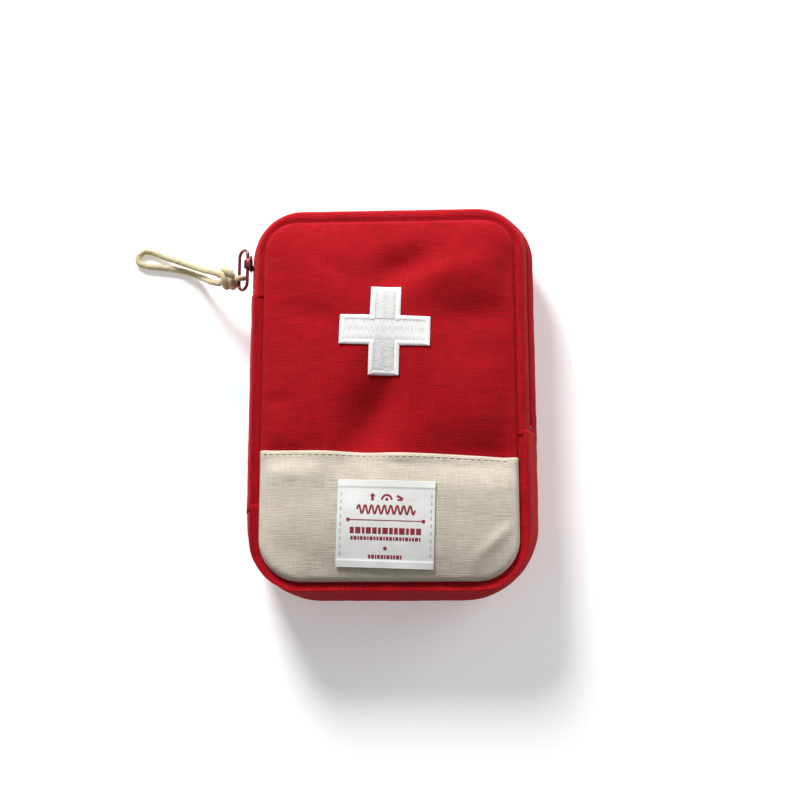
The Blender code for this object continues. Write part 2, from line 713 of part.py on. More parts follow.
def oval(middle_x, middle_y, half_x, half_y, count):
    turn = [2 * pi * k / count for k in range(count)]
    return [(middle_x + half_x * cos(a), middle_y + half_y * sin(a)) for a in turn]


def scissors():
    """Small scissors, closed: two steel blades on a rivet, each with a moulded grip."""
    floor = INNER_FLOOR + 0.0014
    layers = {"a": (floor, 1), "b": (floor + 0.0015, -1)}
    for key, (z, sign) in layers.items():
        blade = flat_outline("scissor_blade_" + key, [blade_outline(sign)], z, z + 0.0012, STEEL, 0.25, 1.0)
        hole = turned("rivet_hole_" + key, [(0.0, 0.01), (0.0014, 0.01), (0.0014, -0.01), (0.0, -0.01)],
                      STEEL, (SCISSORS_PIVOT.x, SCISSORS_PIVOT.y, z), (0, 0, 0), 12)
        drilled(blade, as_cutter(hole))
        x = SCISSORS_PIVOT.x - sign * 0.0105
        y = SCISSORS_PIVOT.y + 0.0305
        rings = [oval(x, y, 0.0094, 0.0122, 20), oval(x, y, 0.0062, 0.0090, 20)]
        flat_outline("scissor_grip_" + key, rings, floor, floor + 0.0030, BLUE, 0.4)
    low, high = floor - 0.0008, floor + 0.0035
    half = 0.0013
    rivet = [(0.0, high), (0.0024, high), (0.0024, high - 0.0006), (half, high - 0.0006),
             (half, floor - 0.0002), (0.0024, floor - 0.0002), (0.0024, low), (0.0, low)]
    place = (SCISSORS_PIVOT.x, SCISSORS_PIVOT.y, 0.0)
    turned("scissor_rivet", rivet, STEEL, place, (0, 0, 0), 12, 0.3, 1.0)


def drilled(o, hole):
    """Turns a flat curve into a mesh with welded caps and cuts a hole through it."""
    bpy.context.view_layer.update()
    graph = bpy.context.evaluated_depsgraph_get()
    mesh = bpy.data.meshes.new_from_object(o.evaluated_get(graph))
    bm = bmesh.new()
    bm.from_mesh(mesh)
    bmesh.ops.remove_doubles(bm, verts=bm.verts, dist=1e-6)
    bm.to_mesh(mesh)
    bm.free()
    name, place, old = o.name, o.matrix_world.copy(), o.data
    bpy.data.objects.remove(o)
    bpy.data.curves.remove(old)
    made = bpy.data.objects.new(name, mesh)
    PARTS.objects.link(made)
    made.matrix_world = place
    cut(made, hole)


def roll(name, r_in, r_out, width, color, place, turn, steps=24):
    profile = [(r_in, width / 2), (r_out, width / 2), (r_out, -width / 2), (r_in, -width / 2)]
    turned(name, profile, color, place, turn, steps)


def lower_contents():
    """What lies behind the beige panel: a gauze roll, a tape roll and a folded bandage."""
    gauze_r = 0.0128
    roll("gauze_roll", 0.0016, gauze_r, 0.0460, WHITE, (-0.0290, -0.0600, INNER_FLOOR + gauze_r + 0.0006),
         (0, pi / 2, 0), 20)
    tape_z = INNER_FLOOR + 0.0004 + 0.0063
    roll("tape_core", 0.0105, 0.0115, 0.0126, CARD, (0.0300, -0.0600, tape_z), (0, 0, 0))
    roll("adhesive_tape", 0.0118, 0.0165, 0.0126, WHITE, (0.0300, -0.0600, tape_z), (0, 0, 0))
    low, high = (0.0060, -0.0800, 0.0186), (0.0530, -0.0420, 0.0270)
    box("folded_bandage", low, high, WHITE, rounding=0.0015)


def upper_contents():
    """What lies on the tools under the flap: two wipes in sachets."""
    for k in range(2):
        z = 0.0216 + 0.0026 * k
        x = -0.0490 + 0.0030 * k
        box(f"wipe_sachet_{k + 1}", (x, 0.0060, z), (x + 0.0480, 0.0620, z + 0.0022), WHITE, 0.4,
            rounding=0.0008)


POCKET_LOW, POCKET_HIGH = Vector((-0.0100, 0.0280, 0.0)), Vector((0.0470, 0.0690, 0.0))
POCKET_FLOOR = 0.0286


def pocket_height(x, y, sewn):
    return PANEL.z + crown(x, y) - 0.0045 if sewn else POCKET_FLOOR


def flap_pocket():
    """A mesh pocket under the flap, its bound mouth, and the plasters in it."""
    draped("flap_mesh_pocket", POCKET_LOW, POCKET_HIGH, (8, 6), pocket_height, 0.0005, LINING_GREY)
    low = (POCKET_LOW.x + 0.006, POCKET_LOW.y + 0.0075, POCKET_FLOOR - 0.0013)
    high = (POCKET_HIGH.x - 0.006, POCKET_LOW.y + 0.0105, POCKET_FLOOR - CLEARANCE)
    box("flap_pocket_binding", low, high, DARK_RED)
    for k in range(3):
        z = POCKET_FLOOR + 0.0010 + 0.0011 * k
        x = 0.0040 + 0.0015 * k
        box(f"plaster_{k + 1}", (x, 0.0395, z), (x + 0.0280, 0.0580, z + 0.0008), (0.75, 0.62, 0.50), 0.6)


back_wall()
side_bands()
front_wall()
label()
cross_patch("cross_patch_upper", BELOW_PATCH_FOLD)
cross_patch("cross_patch_left_arm", ABOVE_PATCH_FOLD, RIGHT_OF_SPLIT)
cross_patch("cross_patch_low_arm", ABOVE_PATCH_FOLD, LEFT_OF_SPLIT)
zip_chain()
slider()
pull_ring()
cord_knot()
pull_cord()
elastic_webbing()
tweezers()
ointment()
scissors()
lower_contents()
upper_contents()
flap_pocket()
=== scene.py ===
"""Looks of a small soft first aid pouch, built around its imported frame.

Lengths are in metres, in the frame's axes: +Z out of the front panel, +Y towards the pouch's top,
+X to its right. A sheet of cloth carries a "weave" attribute, its place when it lies flat, so that
its threads follow it wherever it bends.
"""

from collections import namedtuple
from math import cos, exp, hypot, pi, radians, sin, sqrt

import bmesh
import bpy
import numpy as np
from mathutils import Matrix, Vector
from mathutils.bvhtree import BVHTree
from mathutils.noise import noise


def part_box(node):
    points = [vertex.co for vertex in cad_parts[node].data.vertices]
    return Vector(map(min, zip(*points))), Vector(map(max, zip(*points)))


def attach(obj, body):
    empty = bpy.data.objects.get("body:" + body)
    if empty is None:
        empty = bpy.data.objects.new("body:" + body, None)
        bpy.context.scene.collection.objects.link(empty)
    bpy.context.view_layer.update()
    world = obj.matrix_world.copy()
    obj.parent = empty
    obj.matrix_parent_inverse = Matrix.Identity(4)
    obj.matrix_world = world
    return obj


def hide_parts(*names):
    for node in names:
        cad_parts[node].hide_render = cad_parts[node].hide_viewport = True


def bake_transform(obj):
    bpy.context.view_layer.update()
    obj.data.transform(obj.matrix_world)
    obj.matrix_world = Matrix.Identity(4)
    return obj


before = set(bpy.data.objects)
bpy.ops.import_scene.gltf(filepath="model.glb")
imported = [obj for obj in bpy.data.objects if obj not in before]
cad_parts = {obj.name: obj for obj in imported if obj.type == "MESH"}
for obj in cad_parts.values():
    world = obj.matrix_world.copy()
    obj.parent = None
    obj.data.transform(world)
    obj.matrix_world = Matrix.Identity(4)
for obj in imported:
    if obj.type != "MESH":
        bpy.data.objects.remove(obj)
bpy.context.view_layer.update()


def vec(x, y, z=0.0):
    return Vector((x, y, z))


# ---- Sizes, as the frame has them ----

# A level is one closed outline of the pouch, a rounded rectangle at a height.
Level = namedtuple("Level", "cx cy half_w half_h r_top r_bot z")
PANEL = Level(-0.0002, -0.0014, 0.0572, 0.0823, 0.0145, 0.019, 0.0351)  # front panel's seam
ZIP = Level(0.0, 0.0, 0.0634, 0.0884, 0.023, 0.031, 0.0268)  # zip line
BELLY = Level(0.0008, -0.0009, 0.065, 0.0897, 0.0245, 0.0335, 0.018)  # widest line
LOW = Level(0.0004, -0.0004, 0.0638, 0.0885, 0.024, 0.033, 0.007)
BACK = Level(0.0, 0.0, 0.061, 0.0857, 0.0215, 0.0295, 0.0016)  # back panel's seam
CROWN = 0.0044  # rise of the front panel's middle
LAP_Y = -0.0525  # where the left band is sewn to the bottom band

CANVAS, SIDE_CANVAS = 0.0008, 0.0009  # thickness of the outer cloth

HEM_LEFT, HEM_RIGHT = vec(-0.0576, -0.0257), vec(0.0562, -0.0297)
SPIN = Matrix.Rotation(radians(-2.0), 3, "Z")  # of the cross and the label
CROSS_CENTRE, CROSS_SPAN, CROSS_ARM = vec(-0.0016, 0.0271), 0.0403, 0.0134
LABEL_CENTRE, LABEL_W, LABEL_H = vec(-0.0011, -0.0593), 0.0424, 0.0376

UP = vec(0.0, 0.0, 1.0)


# ---- Meshes ----


def piece(name, data, finish=None, sharp=None):
    """A new object with its finish, which is a material and a slot name; the slot name is not used."""
    o = bpy.data.objects.new(name, data)
    bpy.context.scene.collection.objects.link(o)
    if finish:
        material, slot = finish
        data.materials.append(material)
    if sharp:
        data.shade_smooth()
        data.set_sharp_from_angle(angle=radians(sharp))
    return o


def mesh_piece(name, points, faces, finish, weave=None, sharp=50):
    """A mesh from points and faces; weave gives each point's place on the flat cloth."""
    mesh = bpy.data.meshes.new(name)
    mesh.from_pydata([tuple(p) for p in points], [], faces)
    if weave:
        layer = mesh.attributes.new("weave", "FLOAT_VECTOR", "POINT")
        layer.data.foreach_set("vector", np.array(weave, np.float32).ravel())
    return piece(name, mesh, finish, sharp)


def bmesh_piece(name, bm, finish, sharp=None):
    mesh = bpy.data.meshes.new(name)
    bm.to_mesh(mesh)
    bm.free()
    return piece(name, mesh, finish, sharp)


def grid_faces(rows, columns, closed=False, first=0):
    """Faces between rows of points, which start at a point's number and may close into rings."""
    made = []
    for r in range(rows - 1):
        a = first + r * columns
        for c in range(columns if closed else columns - 1):
            d = (c + 1) % columns
            made.append((a + c, a + columns + c, a + columns + d, a + d))
    return made


def tube_faces(rings, sides, first=0):
    """Faces of a tube of rings, with a cap at each end."""
    last = first + (rings - 1) * sides
    caps = [tuple(range(first, first + sides)), tuple(reversed(range(last, last + sides)))]
    return grid_faces(rings, sides, True, first) + caps


def flipped(faces):
    return [f[::-1] for f in faces]


def flat_weave(rows):
    """The weave of cloth that lies flat over X and Y."""
    return [(p.x, p.y, 0.0) for row in rows for p in row]


def sheet_grid(name, rows, finish, flip=False, weave=None):
    """A sheet through rows of points. Unless its weave is given, the cloth runs with the middle row."""
    points, faces = [p for row in rows for p in row], grid_faces(len(rows), len(rows[0]))
    along, across = lengths(rows[len(rows) // 2]), lengths([row[len(row) // 2] for row in rows])
    weave = weave or [(a, b, 0.0) for b in across for a in along]
    return mesh_piece(name, points, flipped(faces) if flip else faces, finish, weave)


def settle(o):
    """Applies a piece's modifiers to its mesh."""
    old = o.data
    mesh = bpy.data.meshes.new_from_object(o.evaluated_get(bpy.context.evaluated_depsgraph_get()))
    o.modifiers.clear()
    o.data = mesh
    bpy.data.meshes.remove(old)
    return o


def thicken(o, thickness, offset=-1.0, subdivisions=0):
    if subdivisions:
        m = o.modifiers.new("finer", "SUBSURF")
        m.levels = m.render_levels = subdivisions
    m = o.modifiers.new("thickness", "SOLIDIFY")
    m.thickness, m.offset, m.use_even_offset = thickness, offset, False
    return settle(o)


def merge(o, others):
    """Joins other meshes into one piece."""
    bm = bmesh.new()
    for k in [o, *others]:
        bm.from_mesh(k.data)
    bm.to_mesh(o.data)
    bm.free()
    for k in others:
        bpy.data.objects.remove(k)
    return o


def place(o, body, *nodes):
    """Gives a piece its body, and hides the frame's nodes that it stands for."""
    if nodes:
        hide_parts(*nodes)
    if body == "fold":
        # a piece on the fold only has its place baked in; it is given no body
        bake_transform(o)
    else:
        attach(o, body)
    return o


# ---- Routes and outlines ----


def spaced(first, last, count):
    return [first + (last - first) * i / (count - 1) for i in range(count)]


def turns(count):
    """Angles all round a circle."""
    return [2 * pi * k / count for k in range(count)]


def lengths(points):
    """How far along a line of points each one lies."""
    gone = [0.0]
    for p, q in zip(points, points[1:]):
        gone.append(gone[-1] + (q - p).length)
    return gone


def places(route, wanted):
    """The point, direction and stretch of a route at each wanted distance along it."""
    gone, k, made = lengths(route), 0, []
    for want in wanted:
        while k < len(route) - 2 and gone[k + 1] < want:
            k += 1
        share = (want - gone[k]) / (gone[k + 1] - gone[k])
        made.append((route[k].lerp(route[k + 1], share), (route[k + 1] - route[k]).normalized(), k))
    return made


def walk(route, pitch, start=0.5):
    """The same at every pitch, from a share of the first."""
    count = int(lengths(route)[-1] / pitch)
    return places(route, [(n + start) * pitch for n in range(count)])


def through(a, b, c, d, t):
    """A smooth curve from b to c, at a share t; a and d are the points next to them."""
    return (b * 2 + (c - a) * t + (a * 2 - b * 5 + c * 4 - d) * t**2 + (b * 3 - a - c * 3 + d) * t**3) / 2


def smooth_route(points, pitch):
    """Points about every pitch along a smooth curve through the given ones."""
    points = [Vector(p) for p in points]
    ends = [points[0] * 2 - points[1], *points, points[-1] * 2 - points[-2]]
    fine = [through(*four, i / 12) for four in zip(ends, ends[1:], ends[2:], ends[3:]) for i in range(12)]
    fine.append(points[-1])
    long = lengths(fine)[-1]
    return [p for p, _, _ in places(fine, spaced(0.0, long, max(2, round(long / pitch) + 1)))]


def direction(route, k):
    return (route[min(k + 1, len(route) - 1)] - route[max(k - 1, 0)]).normalized()


def grown(level, by, z=None):
    """The same outline, moved outwards all round."""
    return level._replace(half_w=level.half_w + by, half_h=level.half_h + by, r_top=level.r_top + by,
                          r_bot=level.r_bot + by, z=level.z if z is None else z)


def rim_point(level, station):
    """The point of an outline at a station, which is a side's name and a place along it."""
    side, at = station
    cx, cy, w, h, r_top, r_bot, z = level
    if side in ("left", "right"):
        return vec(cx + (w if side == "right" else -w), at, z)
    if side == "top":
        return vec(cx + at * (w - r_top), cy + h, z)
    if side == "bottom":
        return vec(cx + at * (w - r_bot), cy - h, z)
    sx, sy, r = (1 if side in (0, 3) else -1), (1 if side < 2 else -1), (r_top if side < 2 else r_bot)
    return vec(cx + sx * (w - r) + r * cos(at), cy + sy * (h - r) + r * sin(at), z)


SIDE_TOP, SIDE_BOTTOM = 0.062, -0.0555  # the straight part of the long sides
STEP = 0.0016  # along a seam


def side(name, start, end):
    return [(name, y) for y in spaced(start, end, max(2, round(abs(end - start) / STEP) + 1))]


def corner(quadrant, steps=22):
    return [(quadrant, (quadrant + i / steps) * pi / 2) for i in range(1, steps)]


def over_the_top(right_y, left_y):
    """Stations from a place on the right side, over the top, to a place on the left side."""
    top = corner(0) + [("top", at) for at in spaced(1.0, -1.0, 52)] + corner(1)
    return side("right", right_y, SIDE_TOP) + top + side("left", SIDE_TOP, left_y)


def under_the_bottom(left_y, right_y):
    low = corner(2) + [("bottom", at) for at in spaced(-1.0, 1.0, 48)] + corner(3)
    return side("left", left_y, SIDE_BOTTOM) + low + side("right", SIDE_BOTTOM, right_y)


ALL_ROUND = over_the_top(0.0, 0.0)[:-1] + under_the_bottom(0.0, 0.0)


def between(levels, count):
    """A smooth run of outlines through a few, so that the wall has a rounded profile."""
    keys = np.array(levels)
    keys = np.vstack([keys[0] * 2 - keys[1], keys, keys[-1] * 2 - keys[-2]])
    made = []
    for at in spaced(0.0, len(levels) - 1.0001, count):
        k = int(at)
        made.append(Level(*through(*keys[k:k + 4], at - k)))
    return made


def inside_of(level, x, y):
    """How far inside an outline a place is; 0 outside it."""
    r = level.r_top if y > level.cy else level.r_bot
    qx, qy = abs(x - level.cx) - (level.half_w - r), abs(y - level.cy) - (level.half_h - r)
    return max(r - hypot(max(qx, 0.0), max(qy, 0.0)) - min(max(qx, qy), 0.0), 0.0)


def half_width(level, y):
    """Half of an outline's width at a height y."""
    r = level.r_top if y > level.cy else level.r_bot
    over = max(abs(y - level.cy) - (level.half_h - r), 0.0)
    return level.half_w - r + sqrt(max(r * r - over * over, 0.0))


def ramp(gone, width):
    """Climbs to 1 over a width, and stays there."""
    return min(gone / width, 1.0)


def fade(gone, width):
    """Falls from 1 to 0 over a width, and stays there."""
    return max(1 - gone / width, 0.0)


def crown(x, y):
    across = 1 - ((x - PANEL.cx) / PANEL.half_w) ** 4
    along = 1 - ((y - PANEL.cy) / PANEL.half_h) ** 4
    return CROWN * max(across, 0.0) * max(along, 0.0)


# ---- Materials ----


def node(tree, kind, inputs=None, **settings):
    """A shader node; an input is a number, a colour or another node's socket."""
    made = tree.nodes.new("ShaderNode" + kind)
    for key, value in settings.items():
        setattr(made, key, value)
    for key, value in (inputs or {}).items():
        if isinstance(value, bpy.types.NodeSocket):
            tree.links.new(value, made.inputs[key])
        else:
            made.inputs[key].default_value = value
    return made


def calc(tree, operation, a, b=0.0, c=0.0):
    return node(tree, "Math", {0: a, 1: b, 2: c}, operation=operation).outputs[0]


def mixed(tree, share, a, b):
    return node(tree, "Mix", {0: share, 6: a, 7: b}, data_type="RGBA").outputs[2]


def blotches(tree, place, scale, size, detail):
    """Noise from 0 to 1; scale squeezes the place along each axis, size is the noise's frequency."""
    where = node(tree, "Mapping", {"Vector": place, "Scale": scale}).outputs[0]
    inputs = {"Vector": where, "Scale": size, "Detail": detail, "Roughness": 0.55}
    return node(tree, "TexNoise", inputs).outputs[0]


def spread(tree, value, low, high, to_low=0.0, to_high=1.0):
    inputs = {"Value": value, "From Min": low, "From Max": high, "To Min": to_low, "To Max": to_high}
    return node(tree, "MapRange", inputs).outputs[0]


def srgb(parts):
    """A colour from 8-bit display values, as a linear one."""
    share = [p / 255 for p in parts]
    return tuple(s / 12.92 if s <= 0.04045 else ((s + 0.055) / 1.055) ** 2.4 for s in share) + (1.0,)


def shader(name, roughness, metallic=0.0, sheen=0.0, coat=0.0, specular=0.5):
    made = bpy.data.materials.new(name)
    made.use_nodes = True
    out = made.node_tree.nodes["Principled BSDF"]
    settings = {"Roughness": roughness, "Metallic": metallic, "Sheen Weight": sheen, "Coat Weight": coat,
                "Specular IOR Level": specular, "Sheen Roughness": 0.5, "Coat Roughness": 0.2}
    for key, value in settings.items():
        out.inputs[key].default_value = value
    return made, made.node_tree, out


def wire(tree, out, colour, roughness, height, bump, relief):
    """Links a shader to its colour, its roughness and its relief, which is in metres."""
    raised = node(tree, "Bump", {"Strength": bump, "Distance": relief, "Height": height}).outputs[0]
    for key, value in (("Base Color", colour), ("Roughness", roughness), ("Normal", raised)):
        tree.links.new(value, out.inputs[key])


EVEN = (1.0, 1.0, 1.0)
CLOTH_ROUGH = 0.88
SLUB_LONG, SLUB_FINE = 110.0, 2700.0  # frequencies of a thread's slubs, along it and across it


def cloth(name, slot, dark, light, pitch=0.0006, slub=0.5, bump=0.5, sheen=0.03, runs=(1.0, 1.0),
          relief=0.00012):
    """A plain weave: threads of a pitch, uneven slubs along both ways, faint wear and dust."""
    made, tree, out = shader(name, CLOTH_ROUGH, sheen=sheen, specular=0.12)
    flat = node(tree, "Attribute", attribute_name="weave").outputs["Vector"]
    split = node(tree, "SeparateXYZ", {"Vector": flat}).outputs
    waves = [calc(tree, "SINE", calc(tree, "MULTIPLY", split[k], pi / pitch)) for k in (0, 1)]
    threads = calc(tree, "MULTIPLY_ADD", calc(tree, "MULTIPLY", *waves), 0.5, 0.5)
    long, fine = SLUB_LONG * runs[0], SLUB_FINE * runs[1]
    weft = calc(tree, "MULTIPLY", blotches(tree, flat, (long, fine, 1.0), 1.0, 2.0), 0.6)
    warp = calc(tree, "MULTIPLY", blotches(tree, flat, (fine, long, 1.0), 1.0, 2.0), 0.4)
    uneven = spread(tree, calc(tree, "ADD", weft, warp), 0.36, 0.64)
    tone = calc(tree, "ADD", calc(tree, "MULTIPLY", uneven, slub), calc(tree, "MULTIPLY", threads, 0.18))
    broad = blotches(tree, flat, EVEN, 38.0, 4.0)
    tone = calc(tree, "MULTIPLY_ADD", broad, 0.3, calc(tree, "SUBTRACT", tone, 0.1))
    fuzz = spread(tree, blotches(tree, flat, EVEN, 900.0, 2.0), 0.2, 0.8, CLOTH_ROUGH - 0.1, 1.0)
    height = calc(tree, "ADD", calc(tree, "MULTIPLY", threads, 0.28), calc(tree, "MULTIPLY", uneven, 0.9))
    wire(tree, out, mixed(tree, tone, srgb(dark), srgb(light)), fuzz, height, bump, relief)
    return made, slot


def plain(name, slot, dark, light, roughness=0.4, metallic=0.0, coat=0.0, grain=60, bump=0.1, sheen=0.0):
    """A moulded, painted or metal surface; grain is its frequency, which may differ along each axis."""
    made, tree, out = shader(name, roughness, metallic, coat=coat, sheen=sheen)
    where = node(tree, "TexCoord").outputs["Object"]
    grainy = blotches(tree, where, grain if isinstance(grain, tuple) else (grain,) * 3, 10.0, 3.0)
    worn = calc(tree, "MULTIPLY", blotches(tree, where, EVEN, 120.0, 4.0), 0.4)
    share = calc(tree, "MULTIPLY_ADD", grainy, 0.6, worn)
    rough = spread(tree, share, 0.3, 0.7, roughness * 0.85, min(roughness * 1.25, 1.0))
    colour = mixed(tree, spread(tree, share, 0.3, 0.7), srgb(dark), srgb(light))
    wire(tree, out, colour, rough, grainy, bump, 0.00005)
    return made, slot


RED = cloth("red_canvas", "red_canvas", (126, 4, 14), (204, 17, 31), slub=0.45, bump=0.8)
RED_BAND = cloth("red_canvas_band", "red_canvas", (122, 4, 14), (208, 18, 33), slub=0.55, bump=0.9)
ZIP_TAPE, BINDING = (cloth("red_" + slot, slot, (72, 4, 9), (118, 9, 18), pitch=0.0005, slub=0.3)
                     for slot in ("zip_tape", "seam_binding"))
BEIGE = cloth("beige_canvas", "beige_canvas", (178, 167, 147), (236, 228, 214), slub=0.52, bump=0.8)
THREAD_BEIGE = plain("beige_thread", "beige_canvas", (206, 196, 176), (228, 220, 202), 0.7, grain=900)
LABEL = cloth("label_satin", "label_cloth", (226, 226, 223), (255, 255, 253), 0.0003, 0.35, 0.35,
              runs=(0.6, 1.4), relief=0.00006)
PRINT = plain("label_print", "label_cloth", (130, 26, 48), (160, 48, 68), 0.8, grain=900, bump=0.3)
SATIN = plain("satin_thread", "embroidery", (246, 246, 246), (255, 255, 255), 0.55, grain=800, sheen=0.3)
FILL = plain("fill_thread", "embroidery", (232, 231, 229), (254, 253, 252), 0.65, grain=300, sheen=0.2)
FELT = cloth("felt", "embroidery", (168, 164, 162), (206, 203, 200), pitch=0.0004, slub=0.3)
THREAD_GREY = plain("grey_thread", "label_cloth", (168, 170, 168), (196, 198, 196), 0.7, grain=900)
TEETH = plain("zip_teeth", "zip_teeth", (96, 10, 18), (140, 22, 32), 0.42, coat=0.2, grain=300)
ZIP_METAL = plain("zip_metal", "zip_metal", (120, 60, 60), (170, 110, 105), 0.35, 0.9)
SLIDER_METAL = plain("slider_metal", "zip_metal", (104, 26, 42), (150, 62, 70), 0.3, 0.6, 0.4, 150)
CORD = cloth("cord_cotton", "cord", (178, 162, 122), (236, 226, 194), pitch=0.0004, slub=0.4, bump=0.6)
LINING = cloth("lining", "lining", (92, 92, 96), (138, 138, 142), 0.0003, 0.25, 0.3, sheen=0.2)
FOAM = plain("foam", "padding", (222, 220, 210), (240, 238, 228), 0.95, grain=700, bump=0.5)
ELASTIC = cloth("elastic", "elastic", (22, 22, 24), (66, 66, 70), pitch=0.0009, slub=0.2, bump=0.9)
GAUZE = cloth("gauze", "gauze", (196, 194, 186), (248, 247, 242), pitch=0.0008, slub=0.4, bump=1.0)
TAPE = plain("tape_cloth", "tape", (214, 206, 192), (234, 228, 216), 0.7, grain=(20, 20, 1800), bump=0.5)
CARD = plain("card", "card", (150, 122, 84), (182, 154, 112), 0.85, grain=500, bump=0.4)
GRIP = plain("grip_plastic", "grip_plastic", (24, 78, 150), (36, 98, 176), 0.38, grain=250, bump=0.15)
TUBE = plain("tube_wall", "tube_wall", (226, 230, 232), (244, 246, 247), 0.3, coat=0.4, grain=80)
STEEL = plain("brushed_steel", None, (196, 198, 202), (228, 230, 233), 0.4, 0.85, 0.0, (900, 40, 900), 0.2)
SACHET = plain("sachet_foil", "sachet", (206, 218, 228), (234, 240, 245), 0.35, coat=0.3)
PLASTER = plain("plaster_paper", "plaster_wrap", (222, 212, 192), (240, 232, 216), 0.75, grain=400, bump=0.3)
NET = plain("net_thread", "mesh", (60, 60, 64), (96, 96, 100), 0.7, grain=700)
RED_EDGE = plain("red_edge_tape", "seam_binding", (110, 12, 22), (146, 22, 34), 0.85, grain=900, bump=0.6)


# ---- Camera, floor and light ----

CAMERA_AIM = vec(0.0, 0.0, 0.01756)
CAMERA_FROM = vec(0.0498, -0.2023, 0.978).normalized()
CAMERA_FAR, CAMERA_LENS = 0.5813, 57.0


def camera():
    data = bpy.data.cameras.new("camera")
    data.lens, data.sensor_width = CAMERA_LENS, 36.0
    data.shift_x, data.shift_y = 0.0113, 0.0006
    data.clip_start, data.clip_end = 0.01, 10.0
    o = piece("camera", data)
    x = vec(0.0, 1.0).cross(CAMERA_FROM).normalized()
    rotation = Matrix((x, CAMERA_FROM.cross(x), CAMERA_FROM)).transposed()
    o.matrix_world = Matrix.LocRotScale(CAMERA_AIM + CAMERA_FROM * CAMERA_FAR, rotation.to_quaternion(), None)
    bpy.context.scene.camera = o


def floor(far=3.0):
    """A plain pale table."""
    made, tree, out = shader("floor", 0.9, specular=0.1)
    soft = blotches(tree, node(tree, "TexCoord").outputs["Object"], EVEN, 3.0, 2.0)
    tree.links.new(mixed(tree, soft, (0.93, 0.93, 0.93, 1), (0.96, 0.96, 0.96, 1)), out.inputs["Base Color"])
    out.inputs["Emission Color"].default_value = (1.0, 1.0, 1.0, 1.0)
    out.inputs["Emission Strength"].default_value = 0.27
    points = [(x, y, -0.00002) for y in (-far, far) for x in (-far, far)]
    mesh_piece("floor", points, [(0, 1, 3, 2)], (made, None))


def area_light(name, where, size, power):
    data = bpy.data.lights.new(name, "AREA")
    data.shape, data.size, data.energy = "DISK", size, power
    o = piece(name, data)
    o.location = where
    o.rotation_euler = (CAMERA_AIM - where).to_track_quat("-Z", "Y").to_euler()


def lights():
    area_light("key", vec(-0.34, 0.82, 0.56), 0.36, 16.0)
    area_light("fill", vec(0.9, 0.45, 0.32), 0.8, 5.0)
    world = bpy.data.worlds.new("studio")
    world.use_nodes = True
    background = world.node_tree.nodes["Background"].inputs
    background["Color"].default_value = (0.98, 0.99, 1.0, 1.0)
    background["Strength"].default_value = 0.24
    bpy.context.scene.world = world
    bpy.context.scene.view_settings.view_transform = "Standard"


# ---- Front panel ----

SIM_SCALE = 10.0  # the solver works on a model ten times as large


def inflate(o, pins, pressure, slack, cap):
    """Blows a sheet up like the padded cloth it is. Pins are weights from 0 to 1, one a point."""
    rest = np.array([v.co for v in o.data.vertices])
    o.data.transform(Matrix.Scale(SIM_SCALE, 4))
    group = o.vertex_groups.new(name="sewn")
    for k, weight in enumerate(pins):
        group.add([k], weight, "REPLACE")
    m = o.modifiers.new("cloth", "CLOTH")
    m.collision_settings.use_collision = False
    sewn = {"quality": 6, "mass": 0.3, "vertex_group_mass": "sewn", "use_pressure": True,
            "uniform_pressure_force": pressure, "shrink_min": -slack, "tension_stiffness": 25.0,
            "compression_stiffness": 25.0, "shear_stiffness": 12.0, "bending_stiffness": 1.2}
    for key, value in sewn.items():
        setattr(m.settings, key, value)
    m.settings.effector_weights.gravity = 0.0
    for k in range(1, 21):
        bpy.context.scene.frame_set(k)
    settle(o)
    bpy.context.scene.frame_set(1)
    step = np.array([v.co for v in o.data.vertices]) / SIM_SCALE - rest
    far = np.linalg.norm(step, axis=1)
    # the cap is approached softly, so that no crease shows where it starts
    step *= (cap * np.tanh(far / cap) / np.maximum(far, 1e-9))[:, None]
    o.data.vertices.foreach_set("co", (rest + step).astype(np.float32).ravel())
    o.vertex_groups.clear()
    o.data.update()


def dented(dents, x, y):
    """How far soft hollows lower the cloth at a place. A ridge has a depth below zero."""
    total = 0.0
    for middle_x, middle_y, length, width, turn, depth in dents:
        a, b = cos(radians(turn)), sin(radians(turn))
        u = ((x - middle_x) * a + (y - middle_y) * b) / length
        v = ((y - middle_y) * a - (x - middle_x) * b) / width
        total += depth * exp(-u * u - v * v)
    return total


FRONT_DENTS = [  # x, y, length, width, turn and depth
    (0.006, 0.057, 0.014, 0.008, 30, 0.005), (0.026, 0.0545, 0.019, 0.0062, 14, -0.0014),
    (0.037, 0.035, 0.02, 0.0088, 4, 0.0034), (0.037, 0.02, 0.02, 0.01, 0, 0.0016),
    (-0.007, -0.013, 0.022, 0.0115, 68, 0.0082), (0.006, -0.004, 0.021, 0.006, 72, -0.0012),
    (0.042, -0.031, 0.03, 0.0125, 0, 0.0046), (-0.044, -0.028, 0.017, 0.006, 0, 0.002),
    (0.056, -0.008, 0.02, 0.009, 80, 0.002), (-0.05, -0.0035, 0.0065, 0.0026, 0, 0.0008),
    (0.056, 0.056, 0.009, 0.0048, 90, 0.0024), (-0.035, 0.035, 0.015, 0.0062, -14, 0.0012),
    (-0.022, 0.056, 0.011, 0.0048, -34, 0.0009), (0.056, -0.075, 0.024, 0.008, 46, 0.0016),
    (-0.042, -0.072, 0.019, 0.008, -8, 0.001),
]
EDGE_ROLL = 0.0022  # width of the panel's rounded edge
SEAM_DEEP = 0.0015  # how deep the seam lies
SHOULDER, SHOULDER_WIDE = 0.0009, 0.008  # the padding thins out towards the seam
PUCKER_FADE = 0.0045
SEWN, EASE = 0.0016, 0.006  # how far the seam holds the cloth fast, and how far it tames hollows
SKIN_STEP = 0.0021
EDGE_STEPS = (0.0, 0.0004, 0.0009, 0.0015, 0.0023, 0.0034)


